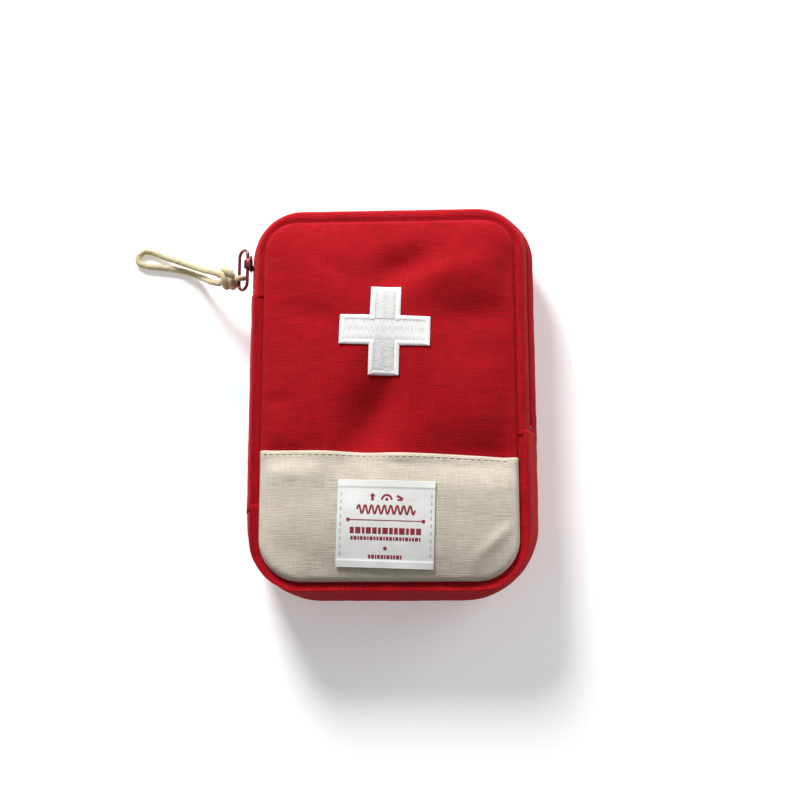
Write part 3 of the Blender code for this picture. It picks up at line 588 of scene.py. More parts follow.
def seam_drop(level, x, y):
    """The panel rolls down into its seam."""
    inside = inside_of(level, x, y)
    return SEAM_DEEP * fade(inside, EDGE_ROLL) ** 2 + SHOULDER * fade(inside, SHOULDER_WIDE) ** 2


def puckers(x, y, inside, height, pitch):
    """Small waves that the seam's stitches pull into the cloth, fading inwards."""
    wave = noise(vec(x / pitch, y / pitch, 3.7))
    return height * wave * exp(-inside / PUCKER_FADE) * ramp(inside, 0.0015)


def edge_spaced(half, step):
    """Places from -half to half, closer together near both ends."""
    inner = half - EDGE_STEPS[-1]
    low = [-half + s for s in EDGE_STEPS[:-1]]
    return low + spaced(-inner, inner, round(2 * inner / step) + 1) + [-v for v in reversed(low)]


def cover(name, level, step, height, finish, up=True):
    """A sheet that fills an outline, at a height that a function gives; up is its visible side."""
    rows = []
    for y in [level.cy + v for v in edge_spaced(level.half_h, step)]:
        share = half_width(level, y) / level.half_w
        line = [level.cx + u * share for u in edge_spaced(level.half_w, step)]
        rows.append([vec(x, y, height(x, y)) for x in line])
    return sheet_grid(name, rows, finish, up, flat_weave(rows))


def front_skin():
    """The red canvas of the front, one sheet over the flap and the base, blown up by its foam."""
    level = grown(PANEL, -0.0002, PANEL.z + SHOULDER)

    def height(x, y):
        return level.z + crown(x, y) * 0.9 - seam_drop(level, x, y)

    o = cover("front_canvas", level, SKIN_STEP, height, RED)
    insides = [inside_of(level, v.co.x, v.co.y) for v in o.data.vertices]
    pins = [1.0 if inside < SEWN else 0.35 * exp((SEWN - inside) / 0.004) for inside in insides]
    inflate(o, pins, pressure=2.2, slack=0.004, cap=0.002)
    for v in o.data.vertices:
        inside = inside_of(level, v.co.x, v.co.y)
        ease = ramp(inside, EASE)
        v.co.z -= dented(FRONT_DENTS, v.co.x, v.co.y) * ease
        v.co.z += puckers(v.co.x, v.co.y, inside, 0.00044, 0.0062)
        v.co.z += 0.00016 * noise(v.co * 140.0) * ease
    o.data.update()
    return thicken(o, CANVAS, -1.0, 1)


def looking_down(o):
    """A function that gives the height of a piece's top at a place."""
    tree = BVHTree.FromObject(o, bpy.context.evaluated_depsgraph_get())

    def height(x, y):
        hit = tree.ray_cast(vec(x, y, 0.1), -UP)[0]
        return hit.z if hit else PANEL.z + crown(x, y) - SEAM_DEEP

    return height


camera()
floor()
lights()
skin = front_skin()
on_front = looking_down(skin)
place(skin, "fold", "front_panel_upper", "front_panel_lower")


# ---- Stitches ----

THREAD_SIDES, THREAD_RINGS = 6, 5


def thread(points, faces, a, b, radius, arch):
    """Adds one stitch from a to b, which rises in the middle and dips at its ends."""
    aside = (b - a).cross(UP).normalized()
    faces += tube_faces(THREAD_RINGS, THREAD_SIDES, len(points))
    for share in spaced(0.0, 1.0, THREAD_RINGS):
        swell = sin(pi * (0.08 + 0.84 * share))
        middle = a + (b - a) * share + UP * (arch * swell)
        wide = radius * (0.45 + 0.55 * swell)
        points += [middle + aside * (wide * cos(t)) + UP * (wide * sin(t)) for t in turns(THREAD_SIDES)]


def seam(name, route, finish, pitch=0.003, length=0.0021, radius=0.00022):
    """A row of stitches along a route."""
    points, faces = [], []
    for middle, along, _ in walk(route, pitch):
        half = along * (length / 2)
        thread(points, faces, middle - half, middle + half, radius, radius * 0.7)
    return mesh_piece(name, points, faces, finish)


# ---- Beige panel ----

HEM_LIP, HEM_THICK, HEM_ROLL = 0.0028, 0.00045, 0.0011  # its width, its extra cloth, its turned edge
BEIGE_LIFT = 0.0009
BEIGE_DENTS = [  # x, y, length, width, turn and depth
    (0.042, -0.04, 0.03, 0.009, 0, -0.0019), (-0.044, -0.036, 0.017, 0.006, 0, -0.001),
    (0.048, -0.0648, 0.0125, 0.0022, 42, -0.001), (0.005, -0.033, 0.007, 0.0016, -8, 0.0005),
    (-0.026, -0.042, 0.01, 0.005, 70, 0.0005),
]


def hem_y(x):
    """Height of the beige panel's slanted top edge."""
    return HEM_LEFT.y + (HEM_RIGHT.y - HEM_LEFT.y) * (x - HEM_LEFT.x) / (HEM_RIGHT.x - HEM_LEFT.x)


def beige_cloth():
    """The beige panel, sewn over the red one, with a folded hem along its top."""
    level = grown(PANEL, -0.0001)
    low, top = level.cy - level.half_h, -0.0278
    heights = [low + s for s in EDGE_STEPS]
    heights += spaced(heights[-1], -0.031, 30)[1:] + [-0.03, -0.0293, -0.0286, -0.0281, top]
    rows = []
    for y in heights:
        share = half_width(level, y) / level.half_w
        climb = ((y - low) / (top - low)) ** 2
        row = []
        for u in edge_spaced(level.half_w, 0.0014):
            x = level.cx + u * share
            at = y + (hem_y(x) - top) * climb
            inside = inside_of(level, x, at)
            below = hem_y(x) - at
            z = on_front(x, at) + BEIGE_LIFT * ramp(inside + 0.001, 0.002)
            z += HEM_THICK * min(fade(below - HEM_LIP, 0.0012), 1.0)
            z -= HEM_ROLL * fade(below, 0.0007) ** 2
            z -= dented(BEIGE_DENTS, x, at) * ramp(inside, EASE)
            row.append(vec(x, at, z + puckers(x, at, inside, 0.0004, 0.005)))
        rows.append(row)
    return thicken(sheet_grid("beige_cloth", rows, BEIGE, True, flat_weave(rows)), CANVAS, -1.0, 1)


def hem_stitches():
    line = [(x, hem_y(x) - 0.0016) for x in spaced(HEM_LEFT.x + 0.0012, HEM_RIGHT.x - 0.0008, 80)]
    return seam("hem_stitches", [vec(x, y, on_beige(x, y)) for x, y in line], THREAD_BEIGE)


beige = beige_cloth()
on_beige = looking_down(beige)
place(beige, "fold", "beige_panel")
place(hem_stitches(), "fold")


# ---- Label ----

LABEL_FOLD = 0.003  # its ends are folded under by this much
LABEL_LIFT = 0.0006


def laid(u, v, centre, ground, lift=0.0):
    """A point of the label's or the cross's own plane, laid on the cloth below."""
    p = centre + SPIN @ vec(u, v)
    p.z = ground(p.x, p.y) + lift
    return p


def label_cloth():
    half_w, half_h, end = LABEL_W / 2, LABEL_H / 2, LABEL_H / 2 - 0.0045
    edges = [half_h - e for e in (0.0, 0.0003, 0.0008, LABEL_FOLD - 0.0003, LABEL_FOLD, LABEL_FOLD + 0.0003)]
    rows, weave = [], []
    for v in [-e for e in edges] + spaced(-end, end, 26) + edges[::-1]:
        row = []
        for u in spaced(-half_w, half_w, 44):
            folded = 0.00022 if half_h - abs(v) < LABEL_FOLD else 0.0
            loose = (v / half_h) ** 6 * (1 - (u / half_w) ** 4)
            lift = LABEL_LIFT + folded + 0.0004 * loose + 0.00012 * noise(vec(u, v) * 160.0)
            row.append(laid(u, v, LABEL_CENTRE, on_beige, lift))
            weave.append((u, v, 0.0))
        rows.append(row)
    return thicken(sheet_grid("label_cloth", rows, LABEL, True, weave), 0.0004, -1.0, 1)


def label_stitches():
    made, end = [], LABEL_H / 2 - 0.0045
    for k, u in enumerate((-LABEL_W / 2 + 0.0016, LABEL_W / 2 - 0.0016)):
        route = [laid(u, v, LABEL_CENTRE, on_label) for v in spaced(-end, end, 30)]
        made.append(seam(f"label_stitches_{k}", route, THREAD_GREY, 0.0032, 0.0019, 0.00018))
    return merge(made[0], made[1:])


def block(u, v, wide, high):
    return [[(u, v), (u + wide, v), (u + wide, v + high), (u, v + high)]]


def disc(u, v, radius, sides=14):
    return [[(u + radius * cos(t), v + radius * sin(t)) for t in turns(sides)]]


def line(route, width):
    made = []
    for (a, b), (c, d) in zip(route, route[1:]):
        half = width / 2 / hypot(c - a, d - b)
        x, y = (b - d) * half, (c - a) * half
        made.append([(a - x, b - y), (c - x, d - y), (c + x, d + y), (a + x, b + y)])
    return made


def blocks(left, right, v, high, count, gap):
    """A row of plain blocks of uneven width."""
    widths = [1.0 + 0.35 * sin(2.3 * k) for k in range(count)]
    unit = (right - left - gap * (count - 1)) / sum(widths)
    made, u = [], left
    for w in widths:
        made += block(u, v, w * unit, high)
        u += w * unit + gap
    return made


WAVE_TURNS = 9


def label_print():
    """Abstract marks: three small figures, a wave, a rule with round ends, rows of blocks."""
    arc = [(0.0002 + 0.0021 * cos(a), 0.0104 + 0.0021 * sin(a)) for a in spaced(pi, 0.0, 10)]
    wave = [(0.0125 * t, 0.0061 + 0.0019 * sin(pi * WAVE_TURNS * (1 + t))) for t in spaced(-1.0, 1.0, 161)]
    marks = disc(-0.006, 0.0121, 0.0011, 4) + block(-0.0066, 0.01, 0.0012, 0.0012)
    marks += line(arc, 0.0009) + block(-0.0004, 0.01, 0.0012, 0.0012)
    marks += line([(0.0046, 0.0122), (0.0072, 0.0108)], 0.001)
    marks += line([(0.0048, 0.0104), (0.007, 0.0104)], 0.0007)
    marks += line(wave, 0.0008) + line([(u, 0.0015) for u in spaced(-0.016, 0.016, 5)], 0.0004)
    marks += disc(-0.0163, 0.0015, 0.0008) + disc(0.0163, 0.0015, 0.0008)
    marks += blocks(-0.0154, 0.0154, -0.0043, 0.0027, 13, 0.0006)
    marks += blocks(-0.015, 0.0152, -0.007, 0.0015, 22, 0.0004)
    marks += disc(0.0, -0.0104, 0.0008) + blocks(-0.0072, 0.0072, -0.0148, 0.0016, 11, 0.0004)
    points, faces = [], []
    for outline in marks:
        faces.append(tuple(range(len(points), len(points) + len(outline))))
        points += [laid(u, v, LABEL_CENTRE, on_label, 0.00007) for u, v in outline]
    return mesh_piece("label_print", points, faces, PRINT)


label = label_cloth()
on_label = looking_down(label)
place(label, "base", "woven_label")
place(label_print(), "base")
place(label_stitches(), "base")


# ---- Cross patch ----

BORDER = 0.0021  # width of the satin border
PATCH_LIFT = 0.0006


def on_cross(u, v, lift=0.0):
    return laid(u, v, CROSS_CENTRE, on_front, PATCH_LIFT + lift)


def cross_base():
    """The patch's felt: cells that follow the panel, in the shape of a cross."""
    arm, span = CROSS_ARM / 2 - 0.0003, CROSS_SPAN / 2 - 0.0003
    lines = sorted(set(spaced(-span, -arm, 9) + spaced(-arm, arm, 9) + spaced(arm, span, 9)))
    cells = [(u, v) for u in lines for v in lines]
    count = len(lines)
    faces = []
    for a, d, c, b in grid_faces(count, count):
        u, v = (cells[a][0] + cells[c][0]) / 2, (cells[a][1] + cells[c][1]) / 2
        if abs(u) < arm or abs(v) < arm:
            faces.append((a, d, c, b))
    used = sorted({k for face in faces for k in face})
    number = {k: n for n, k in enumerate(used)}
    points = [on_cross(*cells[k]) for k in used]
    faces = [tuple(number[k] for k in face) for face in faces]
    weave = [(*cells[k], 0.0) for k in used]
    return thicken(mesh_piece("cross_felt", points, faces, FELT, weave), 0.0005)


def cross_border():
    """Satin stitches side by side, square to each edge."""
    span, arm = CROSS_SPAN / 2, CROSS_ARM / 2
    quarter = [Vector(p) for p in ((span, -arm), (span, arm), (arm, arm))]
    corners = [Matrix.Rotation(k * pi / 2, 2) @ p for k in range(4) for p in quarter]
    points, faces = [], []
    pitch, radius = 0.0004, 0.00026
    for k, (a, b) in enumerate(zip(corners, corners[1:] + corners[:1])):
        long, along = (b - a).length, (b - a).normalized()
        inward = Vector((-along.y, along.x))
        hollow_start, hollow_end = k % 3 == 2, k % 3 == 1
        at = pitch / 2 - (BORDER if hollow_start else 0.0)
        while at < long + (BORDER if hollow_end else 0.0):
            uneven = 0.00013 * noise(vec(at * 900.0, k * 3.0, 0.5))
            near = max(0.0, 0.0 if hollow_start else BORDER - at, 0.0 if hollow_end else BORDER - (long - at))
            deep = BORDER - near * 0.92
            if deep > 0.0003:
                outer = a + along * at - inward * (0.00012 + uneven * 0.5)
                inner = a + along * at + inward * (deep + uneven)
                thread(points, faces, on_cross(*outer, -0.0003), on_cross(*inner, -0.0001), radius, 0.00042)
            at += pitch
    return mesh_piece("cross_border", points, faces, SATIN)


def cross_fill():
    """Long threads side by side: upright in the lying arms, and lying in the upright ones."""
    points, faces = [], []
    arm, span = CROSS_ARM / 2 - BORDER + 0.0002, CROSS_SPAN / 2 - BORDER + 0.0002
    rows = round(2 * span / 0.0005)
    for lying in (True, False):
        for r, at in enumerate(spaced(-span, span, rows + 1)):
            if not lying and abs(at) < arm:
                continue
            meet = 0.0012 * noise(vec(r * 3.1, 0.4, 6.5))
            for k, (a, b) in enumerate(((-arm, meet + 0.0004), (meet - 0.0004, arm))):
                wander = 0.0002 * noise(vec(r * 1.7, k * 0.6, 2.5 + lying))
                ends = ((at + wander, a), (at - wander, b)) if lying else ((a, at + wander), (b, at - wander))
                thread(points, faces, on_cross(*ends[0]), on_cross(*ends[1]), 0.00023, 0.00004)
    return mesh_piece("cross_fill", points, faces, FILL)


place(cross_base(), "fold", "cross_patch_upper", "cross_patch_left_arm", "cross_patch_low_arm")
place(cross_border(), "fold")
place(cross_fill(), "fold")


# ---- Bands round the sides ----


def band(name, stations, levels, rows, finish, wrinkle=0.0, thickness=SIDE_CANVAS):
    """A band of cloth round the side, with a rounded profile and shallow wrinkles across it."""
    made = []
    for share, outline in zip(spaced(0.0, 1.0, rows), between(levels, rows)):
        row = []
        for s in stations:
            p = rim_point(outline, s)
            out = (rim_point(grown(outline, 0.001), s) - p).normalized()
            wave = noise(vec(p.x, p.y, p.z * 0.6) * 70.0)
            fine = noise(vec(p.x, p.y, p.z * 0.8) * 240.0)
            row.append(p + out * (wrinkle * sin(pi * share) * (0.7 * wave + 0.5 * fine)))
        made.append(row)
    return thicken(sheet_grid(name, made, finish), thickness)


ALLOWANCE = [grown(PANEL, -0.003, 0.0318), grown(PANEL, -0.0004, 0.0334)]  # turned in under the panel
CREST = [*ALLOWANCE, grown(PANEL, 0.0008, 0.0337), grown(PANEL, 0.002, 0.034)]
HEEL = [grown(BACK, 0.0006, 0.0032), grown(BACK, -0.0006, 0.0008)]
FULL = [*CREST, grown(PANEL, 0.0036, 0.0345), grown(ZIP, -0.0012, 0.0316), ZIP, BELLY, LOW, *HEEL]
FRONT = [*CREST, grown(ZIP, -0.003, 0.0335), grown(ZIP, -0.0016, 0.0313), grown(ZIP, -0.0009, 0.0293),
         grown(ZIP, -0.0014, 0.0283)]
REAR = [grown(ZIP, -0.0012, 0.0256), grown(ZIP, 0.0002, 0.025), grown(BELLY, 0.0, 0.0215), BELLY,
        grown(BELLY, -0.0002, 0.0125), LOW, *HEEL]
BOTTOM, LEFT = ([grown(level, by) for level in FULL] for by in (0.0003, 0.0006))

for body, name, stations, levels, rows, wrinkle, *nodes in (
        ("fold", "front_strip", over_the_top(-0.02, 0.045), FRONT, 21, 0.00035, "front_strip"),
        ("base", "rear_band", over_the_top(-0.02, 0.043), REAR, 22, 0.00032, "rear_side_band"),
        ("fold", "bottom_band", under_the_bottom(-0.0495, -0.017), BOTTOM, 33, 0.00032, "bottom_band"),
        ("fold", "left_band", side("left", 0.047, LAP_Y), LEFT, 33, 0.00032, "left_band", "zip_end_tab")):
    place(band(name + "_cloth", stations, levels, rows, RED_BAND, wrinkle), body, *nodes)


# ---- Zip ----

TOOTH_PITCH, TOOTH_DEEP = 0.0015, 0.0006
ROW_RIGHT_Y, ROW_LEFT_Y = -0.0142, 0.0512


def tooth(points, faces, middle, along, out, up):
    """One tooth: a narrow foot on the tape and a wider head towards the other row."""
    foot, head = 0.0003, 0.00043
    half = [(foot, 0.0013), (foot, 0.0002), (head, -0.0001), (head * 0.7, -0.0005)]
    section = [(-t, h) for t, h in half] + half[::-1]
    faces += tube_faces(4, len(section), len(points))
    for deep, narrow in ((1.0, 0.7), (0.75, 1.0), (-0.75, 1.0), (-1.0, 0.7)):
        points += [middle + along * (t * narrow) + out * (TOOTH_DEEP * deep) + up * h for t, h in section]


def teeth(name, sign, shift):
    """A row of teeth; sign is 1 for the front row and -1 for the rear one."""
    stations = over_the_top(ROW_RIGHT_Y, ROW_LEFT_Y)
    route = [rim_point(grown(ZIP, -0.0013), s) for s in stations]
    points, faces = [], []
    for middle, along, k in walk(route, TOOTH_PITCH, 0.25 + shift):
        out = (rim_point(grown(ZIP, 0.001), stations[k]) - route[k]).normalized()
        tooth(points, faces, middle + UP * (sign * 0.0004), along, out, UP * sign)
    return mesh_piece(name, points, faces, TEETH)


def rounded_box(name, low, high, rounding, finish, segments=3):
    bm = bmesh.new()
    bmesh.ops.create_cube(bm, size=1.0, matrix=Matrix.LocRotScale((low + high) / 2, None, high - low))
    bmesh.ops.bevel(bm, geom=bm.edges[:] + bm.verts[:], offset=rounding, segments=segments, affect="EDGES",
                    profile=0.5, clamp_overlap=True)
    return bmesh_piece(name, bm, finish, 50)


def zip_stop(name, y, sign):
    """A pressed metal clip over the last teeth."""
    middle, half = vec(sign * (ZIP.half_w - 0.001), y, ZIP.z), vec(0.0009, 0.0009, 0.0014)
    return rounded_box(name, middle - half, middle + half, 0.0004, ZIP_METAL)


TAPE_FRONT = [grown(ZIP, by, z) for by, z in ((-0.0052, 0.0318), (-0.0024, 0.0296), (-0.0013, 0.0284),
                                              (-0.0009, 0.0278), (-0.0009, 0.0274))]
TAPE_REAR = [grown(ZIP, by, z) for by, z in ((-0.0009, 0.0263), (-0.0011, 0.0256), (-0.0018, 0.024),
                                             (-0.0018, 0.0205))]
for body, end, levels, sign, shift in (("fold", "front", TAPE_FRONT, 1, 0.0),
                                       ("base", "rear", TAPE_REAR, -1, 0.5)):
    stations = over_the_top(-0.0186, 0.045)
    place(band(f"zip_tape_{end}_cloth", stations, levels, 8, ZIP_TAPE, 0.0, 0.0004), body, f"zip_tape_{end}")
    place(teeth(f"zip_row_{end}", sign, shift), body, f"zip_teeth_{end}")
place(zip_stop("zip_stop_upper", 0.0502, -1), "base", "zip_stop_left")
place(zip_stop("zip_stop_lower", -0.0152, 1), "base", "zip_stop_right")


# ---- Slider and ring ----

SLIDER_Y, SLIDER_LENGTH, SLIDER_WIDE, SLIDER_PLATE = 0.0635, 0.0076, 0.0066, 0.001
SLIDER_OUT, SLIDER_IN = ZIP.half_w + 0.0008, 0.0595
RING_WIRE, RING_LENGTH, RING_ACROSS, RING_DROOP = 0.0012, 0.0203, 0.0075, radians(44)
RING_TOP = vec(-SLIDER_OUT - SLIDER_PLATE - 0.001, 0.0612, ZIP.z)  # the middle of its upper side
RING_FALL = vec(-cos(RING_DROOP), 0.0, -sin(RING_DROOP))  # from its upper side to its lower one


def slider_plate(name, x, thick, scale):
    """A shield with a rounded shoulder and a narrower mouth, in the plane of the zip."""
    half, wide = SLIDER_LENGTH / 2 * scale, SLIDER_WIDE / 2 * scale
    outline = [(half * 0.25 + half * 0.75 * cos(a), wide * sin(a)) for a in spaced(-pi / 2, pi / 2, 13)]
    mouth = [(-half * 0.35, wide * 0.86), (-half * 0.92, wide * 0.66), (-half, wide * 0.5)]
    outline += mouth + [(u, -v) for u, v in reversed(mouth)]
    bm = bmesh.new()
    face = bm.faces.new([bm.verts.new((x, SLIDER_Y + u, ZIP.z + v)) for u, v in outline])
    for v in bmesh.ops.extrude_face_region(bm, geom=[face])["geom"]:
        if isinstance(v, bmesh.types.BMVert):
            v.co.x -= thick
    bmesh.ops.recalc_face_normals(bm, faces=bm.faces)
    rims = [e for e in bm.edges if abs(e.verts[0].co.x - e.verts[1].co.x) < 1e-7]
    bmesh.ops.bevel(bm, geom=rims, offset=thick * 0.36, segments=3, affect="EDGES", profile=0.5)
    return bmesh_piece(name, bm, SLIDER_METAL, 45)


def bridge():
    """The slider's arch that holds the ring: a bar with rounded edges, wide along Y."""
    half_wide, half_thick, sides = 0.0021, 0.0004, 12
    foot = vec(0.0002 - SLIDER_OUT - SLIDER_PLATE, SLIDER_Y, ZIP.z)
    route = [foot + vec(-0.0026 * sin(a) ** 0.7, 0.0, 0.00145 * cos(a)) for a in spaced(0.0, pi, 15)]
    points = []
    for k, p in enumerate(route):
        out = direction(route, k).cross(vec(0.0, 1.0))
        for a in turns(sides):
            wide = half_wide * abs(cos(a)) ** 0.5 * (1 if cos(a) > 0 else -1)
            points.append(p + vec(0.0, wide) + out * (half_thick * sin(a)))
    return mesh_piece("slider_bridge", points, flipped(tube_faces(len(route), sides)), SLIDER_METAL)


def slider():
    """The slider: an outer shield, a low inner plate, the post between them and the ring's bridge."""
    inner = slider_plate("slider_inner", -SLIDER_IN, 0.0007, 0.72)
    for v in inner.data.vertices:
        v.co.z = min(v.co.z, ZIP.z + 0.0002)
    low = vec(-SLIDER_OUT - 0.0003, SLIDER_Y - 0.0036, ZIP.z - 0.00015)
    high = vec(-SLIDER_IN - 0.0003, SLIDER_Y - 0.0008, ZIP.z + 0.00015)
    post = rounded_box("slider_post", low, high, 0.0001, SLIDER_METAL, 1)
    return merge(slider_plate("zip_slider", -SLIDER_OUT, SLIDER_PLATE, 1.0), [inner, post, bridge()])


def closed_tube(name, route, radius, finish):
    data = bpy.data.curves.new(name, "CURVE")
    data.dimensions = "3D"
    data.bevel_depth, data.bevel_resolution, data.use_fill_caps = radius, 4, True
    spline = data.splines.new("POLY")
    spline.points.add(len(route) - 1)
    for p, co in zip(spline.points, route):
        p.co = (*co, 1.0)
    spline.use_cyclic_u = True
    return piece(name, data, finish)


def ring():
    """The oval pull ring of bent wire, through the slider's bridge."""
    half = (RING_ACROSS - RING_WIRE) / 2
    straight = (RING_LENGTH - RING_WIRE) / 2 - half
    middle = RING_TOP + RING_FALL * half
    route = []
    for sign in (1, -1):
        for a in spaced(-pi / 2, pi / 2, 20):
            bend = vec(0.0, straight + half * cos(a)) + RING_FALL * (half * sin(a))
            route.append(middle + bend * sign)
    return closed_tube("zip_pull_ring", route, RING_WIRE * 0.64, SLIDER_METAL)


place(slider(), "slider", "slider_body")
place(ring(), "ring", "pull_ring")


# ---- Cord ----

CORD_THICK = 0.003
CORD_ROUTE = [
    (-0.0803, 0.0606, 0.0208), (-0.085, 0.0628, 0.018), (-0.0895, 0.0652, 0.013), (-0.0945, 0.068, 0.0086),
    (-0.0995, 0.0704, 0.006), (-0.105, 0.0728, 0.0046), (-0.1105, 0.0752, 0.0028), (-0.116, 0.0778, 0.0016),
    (-0.1205, 0.0788, 0.0016), (-0.1238, 0.0768, 0.0016), (-0.124, 0.0734, 0.0016), (-0.1205, 0.0714, 0.0016),
    (-0.115, 0.0706, 0.0016), (-0.1095, 0.07, 0.0016), (-0.104, 0.069, 0.0016), (-0.0985, 0.0676, 0.0018),
    (-0.094, 0.0652, 0.004), (-0.0895, 0.0618, 0.0098), (-0.085, 0.0584, 0.016), (-0.0806, 0.0566, 0.0192),
]
BRAID_SIDES, BRAID_STRANDS, BRAID_LAY, BRAID_RELIEF = 20, 4, 0.0042, 0.07


def braid(name, route, radius):
    """A braided cord along a route: two sets of strands that wind over each other."""
    points, weave, normal = [], [], UP
    for k, (p, gone) in enumerate(zip(route, lengths(route))):
        along = direction(route, k)
        normal = (normal - along * normal.dot(along)).normalized()
        aside, phase = along.cross(normal), 2 * pi * gone / BRAID_LAY
        for a in turns(BRAID_SIDES):
            ridge = max(sin(BRAID_STRANDS * a + phase), sin(BRAID_STRANDS * a - phase))
            r = radius * (1 - BRAID_RELIEF + BRAID_RELIEF * ridge)
            points.append(p + normal * (r * cos(a)) + aside * (r * sin(a)))
            weave.append((gone, radius * a, 0.0))
    faces = flipped(tube_faces(len(route), BRAID_SIDES))
    return mesh_piece(name, points, faces, CORD, weave, 80)


def knot():
    """An overhand knot of the doubled cord, and its bight round the ring's wire."""
    low = RING_TOP + RING_FALL * (RING_ACROSS - RING_WIRE)
    pivot = vec(low.x, 0.0575, low.z)
    core = pivot + vec(-0.005, 0.0003, -0.001)
    wraps = []
    for k in range(23):
        a = radians(-60 + 32 * k)
        wraps.append(core + vec(0.0056 * k / 22 - 0.003, 0.0034 * cos(a), 0.0031 * sin(a)))
    bight = []
    for k in range(9):
        a = radians(215 - 37 * k)
        bight.append(pivot + vec(0.0021 * cos(a), 0.0024 * k / 8 - 0.0012, 0.0021 * sin(a)))
    first, last = (Vector(CORD_ROUTE[k]) + vec(-0.0004, 0.0) for k in (0, -1))
    lead_in = [first, core + vec(-0.002, 0.0016)]
    lead_out = [core + vec(0.001, -0.0012, -0.0002), core + vec(-0.0022, -0.0006, -0.0008), last]
    over = [core + vec(-0.0028, 0.005, 0.0006), core + vec(-0.0004, 0.0026, 0.0042)]
    over.append(core + vec(0.0022, 0.0004, 0.0034))
    parts = (("cord_knot_braid", lead_in + wraps, 0.00168), ("knot_bight", bight, 0.00132),
             ("knot_out", over + lead_out, 0.0015))
    made = [braid(name, smooth_route(route, 0.0004), radius) for name, route, radius in parts]
    return merge(made[0], made[1:])


cord_route = smooth_route(CORD_ROUTE, 0.00045)
cord = place(braid("pull_cord_braid", cord_route, CORD_THICK / 2), "cord", "pull_cord")
tie = place(knot(), "cord", "cord_knot")


# ---- Inside of the shell ----


def front_layer(name, finish, drop, thickness, step, quilt=0.0):
    """A layer of the front below the canvas, which follows it."""
    def height(x, y):
        return on_front(x, y) - drop + quilt * noise(vec(x, y, 5.0) * 75.0)

    return thicken(cover(name, grown(PANEL, -0.0016), step, height, finish), thickness)


def flat_layer(name, inset, z, thickness, finish, step=0.003, wave=0.0, roll=0.0, up=True):
    """A layer of the back; up says which way its visible side looks."""
    level = grown(BACK, -inset)

    def height(x, y):
        inside = inside_of(level, x, y)
        puff = (0.5 + 0.5 * noise(vec(x, y, 1.0) * 60.0)) * ramp(inside, 0.004)
        return z + roll * fade(inside, EDGE_ROLL) ** 2 + wave * puff

    return thicken(cover(name, level, step, height, finish, up), thickness)


lining = front_layer("front_lining_cloth", LINING, 0.0029, 0.0005, 0.003, 0.0005)
foam = front_layer("front_foam", FOAM, 0.001, 0.0014, 0.0045)
back = flat_layer("back_canvas", 0.0002, 0.0001, CANVAS, RED, 0.0026, 0.0002, 0.0012, False)
back_foam = flat_layer("back_foam", 0.0016, 0.0032, 0.002, FOAM, 0.005)
back_lining = flat_layer("back_lining_cloth", 0.0022, 0.0042, 0.0005, LINING, wave=0.0003)
place(lining, "fold", "front_lining_upper", "front_lining_lower")
place(foam, "fold", "front_padding_upper", "front_padding_lower")
place(back, "base", "back_panel")
place(back_foam, "base", "back_padding")
place(back_lining, "base", "back_lining")

SIDE_LINING = [grown(BELLY, -0.0022, 0.0205), grown(BELLY, -0.002, 0.018), grown(BELLY, -0.0022, 0.011),
               grown(LOW, -0.0022, 0.007), grown(BACK, -0.0026, 0.005)]
place(band("side_lining_cloth", ALL_ROUND, SIDE_LINING, 14, LINING, 0.0004, 0.0005), "base", "side_lining")
for end, levels, body, nodes in (
        ("front", [grown(PANEL, -0.0011, z) for z in (0.0318, 0.029)], "fold",
         ["front_binding_upper", "front_binding_lower"]),
        ("back", [grown(BACK, -0.0024, z) for z in (0.0074, 0.0048)], "base", ["back_binding"])):
    place(band(f"{end}_seam_tape", ALL_ROUND, levels, 4, BINDING, 0.0, 0.001), body, *nodes)


# ---- Contents ----

INNER_FLOOR = 0.0046
TWEEZERS_X, TUBE_X, SCISSORS_X = -0.043, -0.021, 0.022
WEBBING_LOW_Y, WEBBING_HIGH_Y = 0.013, 0.031


def elastic():
    """The elastic strip, sewn down between the arches that hold the tools."""
    base = INNER_FLOOR + 0.0004
    section = [(x, base) for x in spaced(-0.054, TWEEZERS_X - 0.0072, 5)]
    arches = ((TWEEZERS_X, 0.007, 0.0118), (TUBE_X, 0.0082, 0.0158), (SCISSORS_X, 0.011, 0.007))
    for middle, half, high in arches:
        section += [(middle + half * cos(a), base + high * sin(a) ** 0.8) for a in spaced(pi, 0.0, 25)]
    section += [(x, base) for x in spaced(SCISSORS_X + 0.0114, 0.052, 9)]
    rows = [[vec(x, y, z) for x, z in section] for y in spaced(WEBBING_HIGH_Y, WEBBING_LOW_Y, 14)]
    return thicken(sheet_grid("elastic_loops", rows, ELASTIC), 0.0008, 1.0)


def lathe(name, profile, middle, finish, steps, spin=Matrix.Identity(3), ribs=0, rib_deep=0.0):
    """A closed profile of radius and height, turned about Z and then placed; ribs run along its outside."""
    points = []
    for a in turns(steps):
        for r, h in profile:
            r -= rib_deep * (0.5 + 0.5 * cos(ribs * a)) if r > 0 else 0.0
            points.append(middle + spin @ vec(r * cos(a), r * sin(a), h))
    faces = [tuple(k % len(points) for k in f) for f in grid_faces(steps + 1, len(profile), True)]
    return mesh_piece(name, points, faces, finish, sharp=35)


def spiral_roll():
    """The gauze roll: one strip wound up, with its free end on the outside."""
    middle = vec(-0.029, -0.06, INNER_FLOOR + 0.0134)
    rounds, inner, outer = 11, 0.002, 0.0124
    rows = []
    for x in spaced(-0.0228, 0.0228, 10):
        row = []
        for share in spaced(0.0, 1.0, rounds * 28):
            a = 2 * pi * rounds * share
            r = inner + (outer - inner) * share + 0.00012 * noise(vec(x * 90, a))
            row.append(middle + vec(x + 0.0002 * sin(a * 0.7), r * cos(a), r * sin(a)))
        rows.append(row)
    return thicken(sheet_grid("gauze_strip_roll", rows, GAUZE), 0.0005)


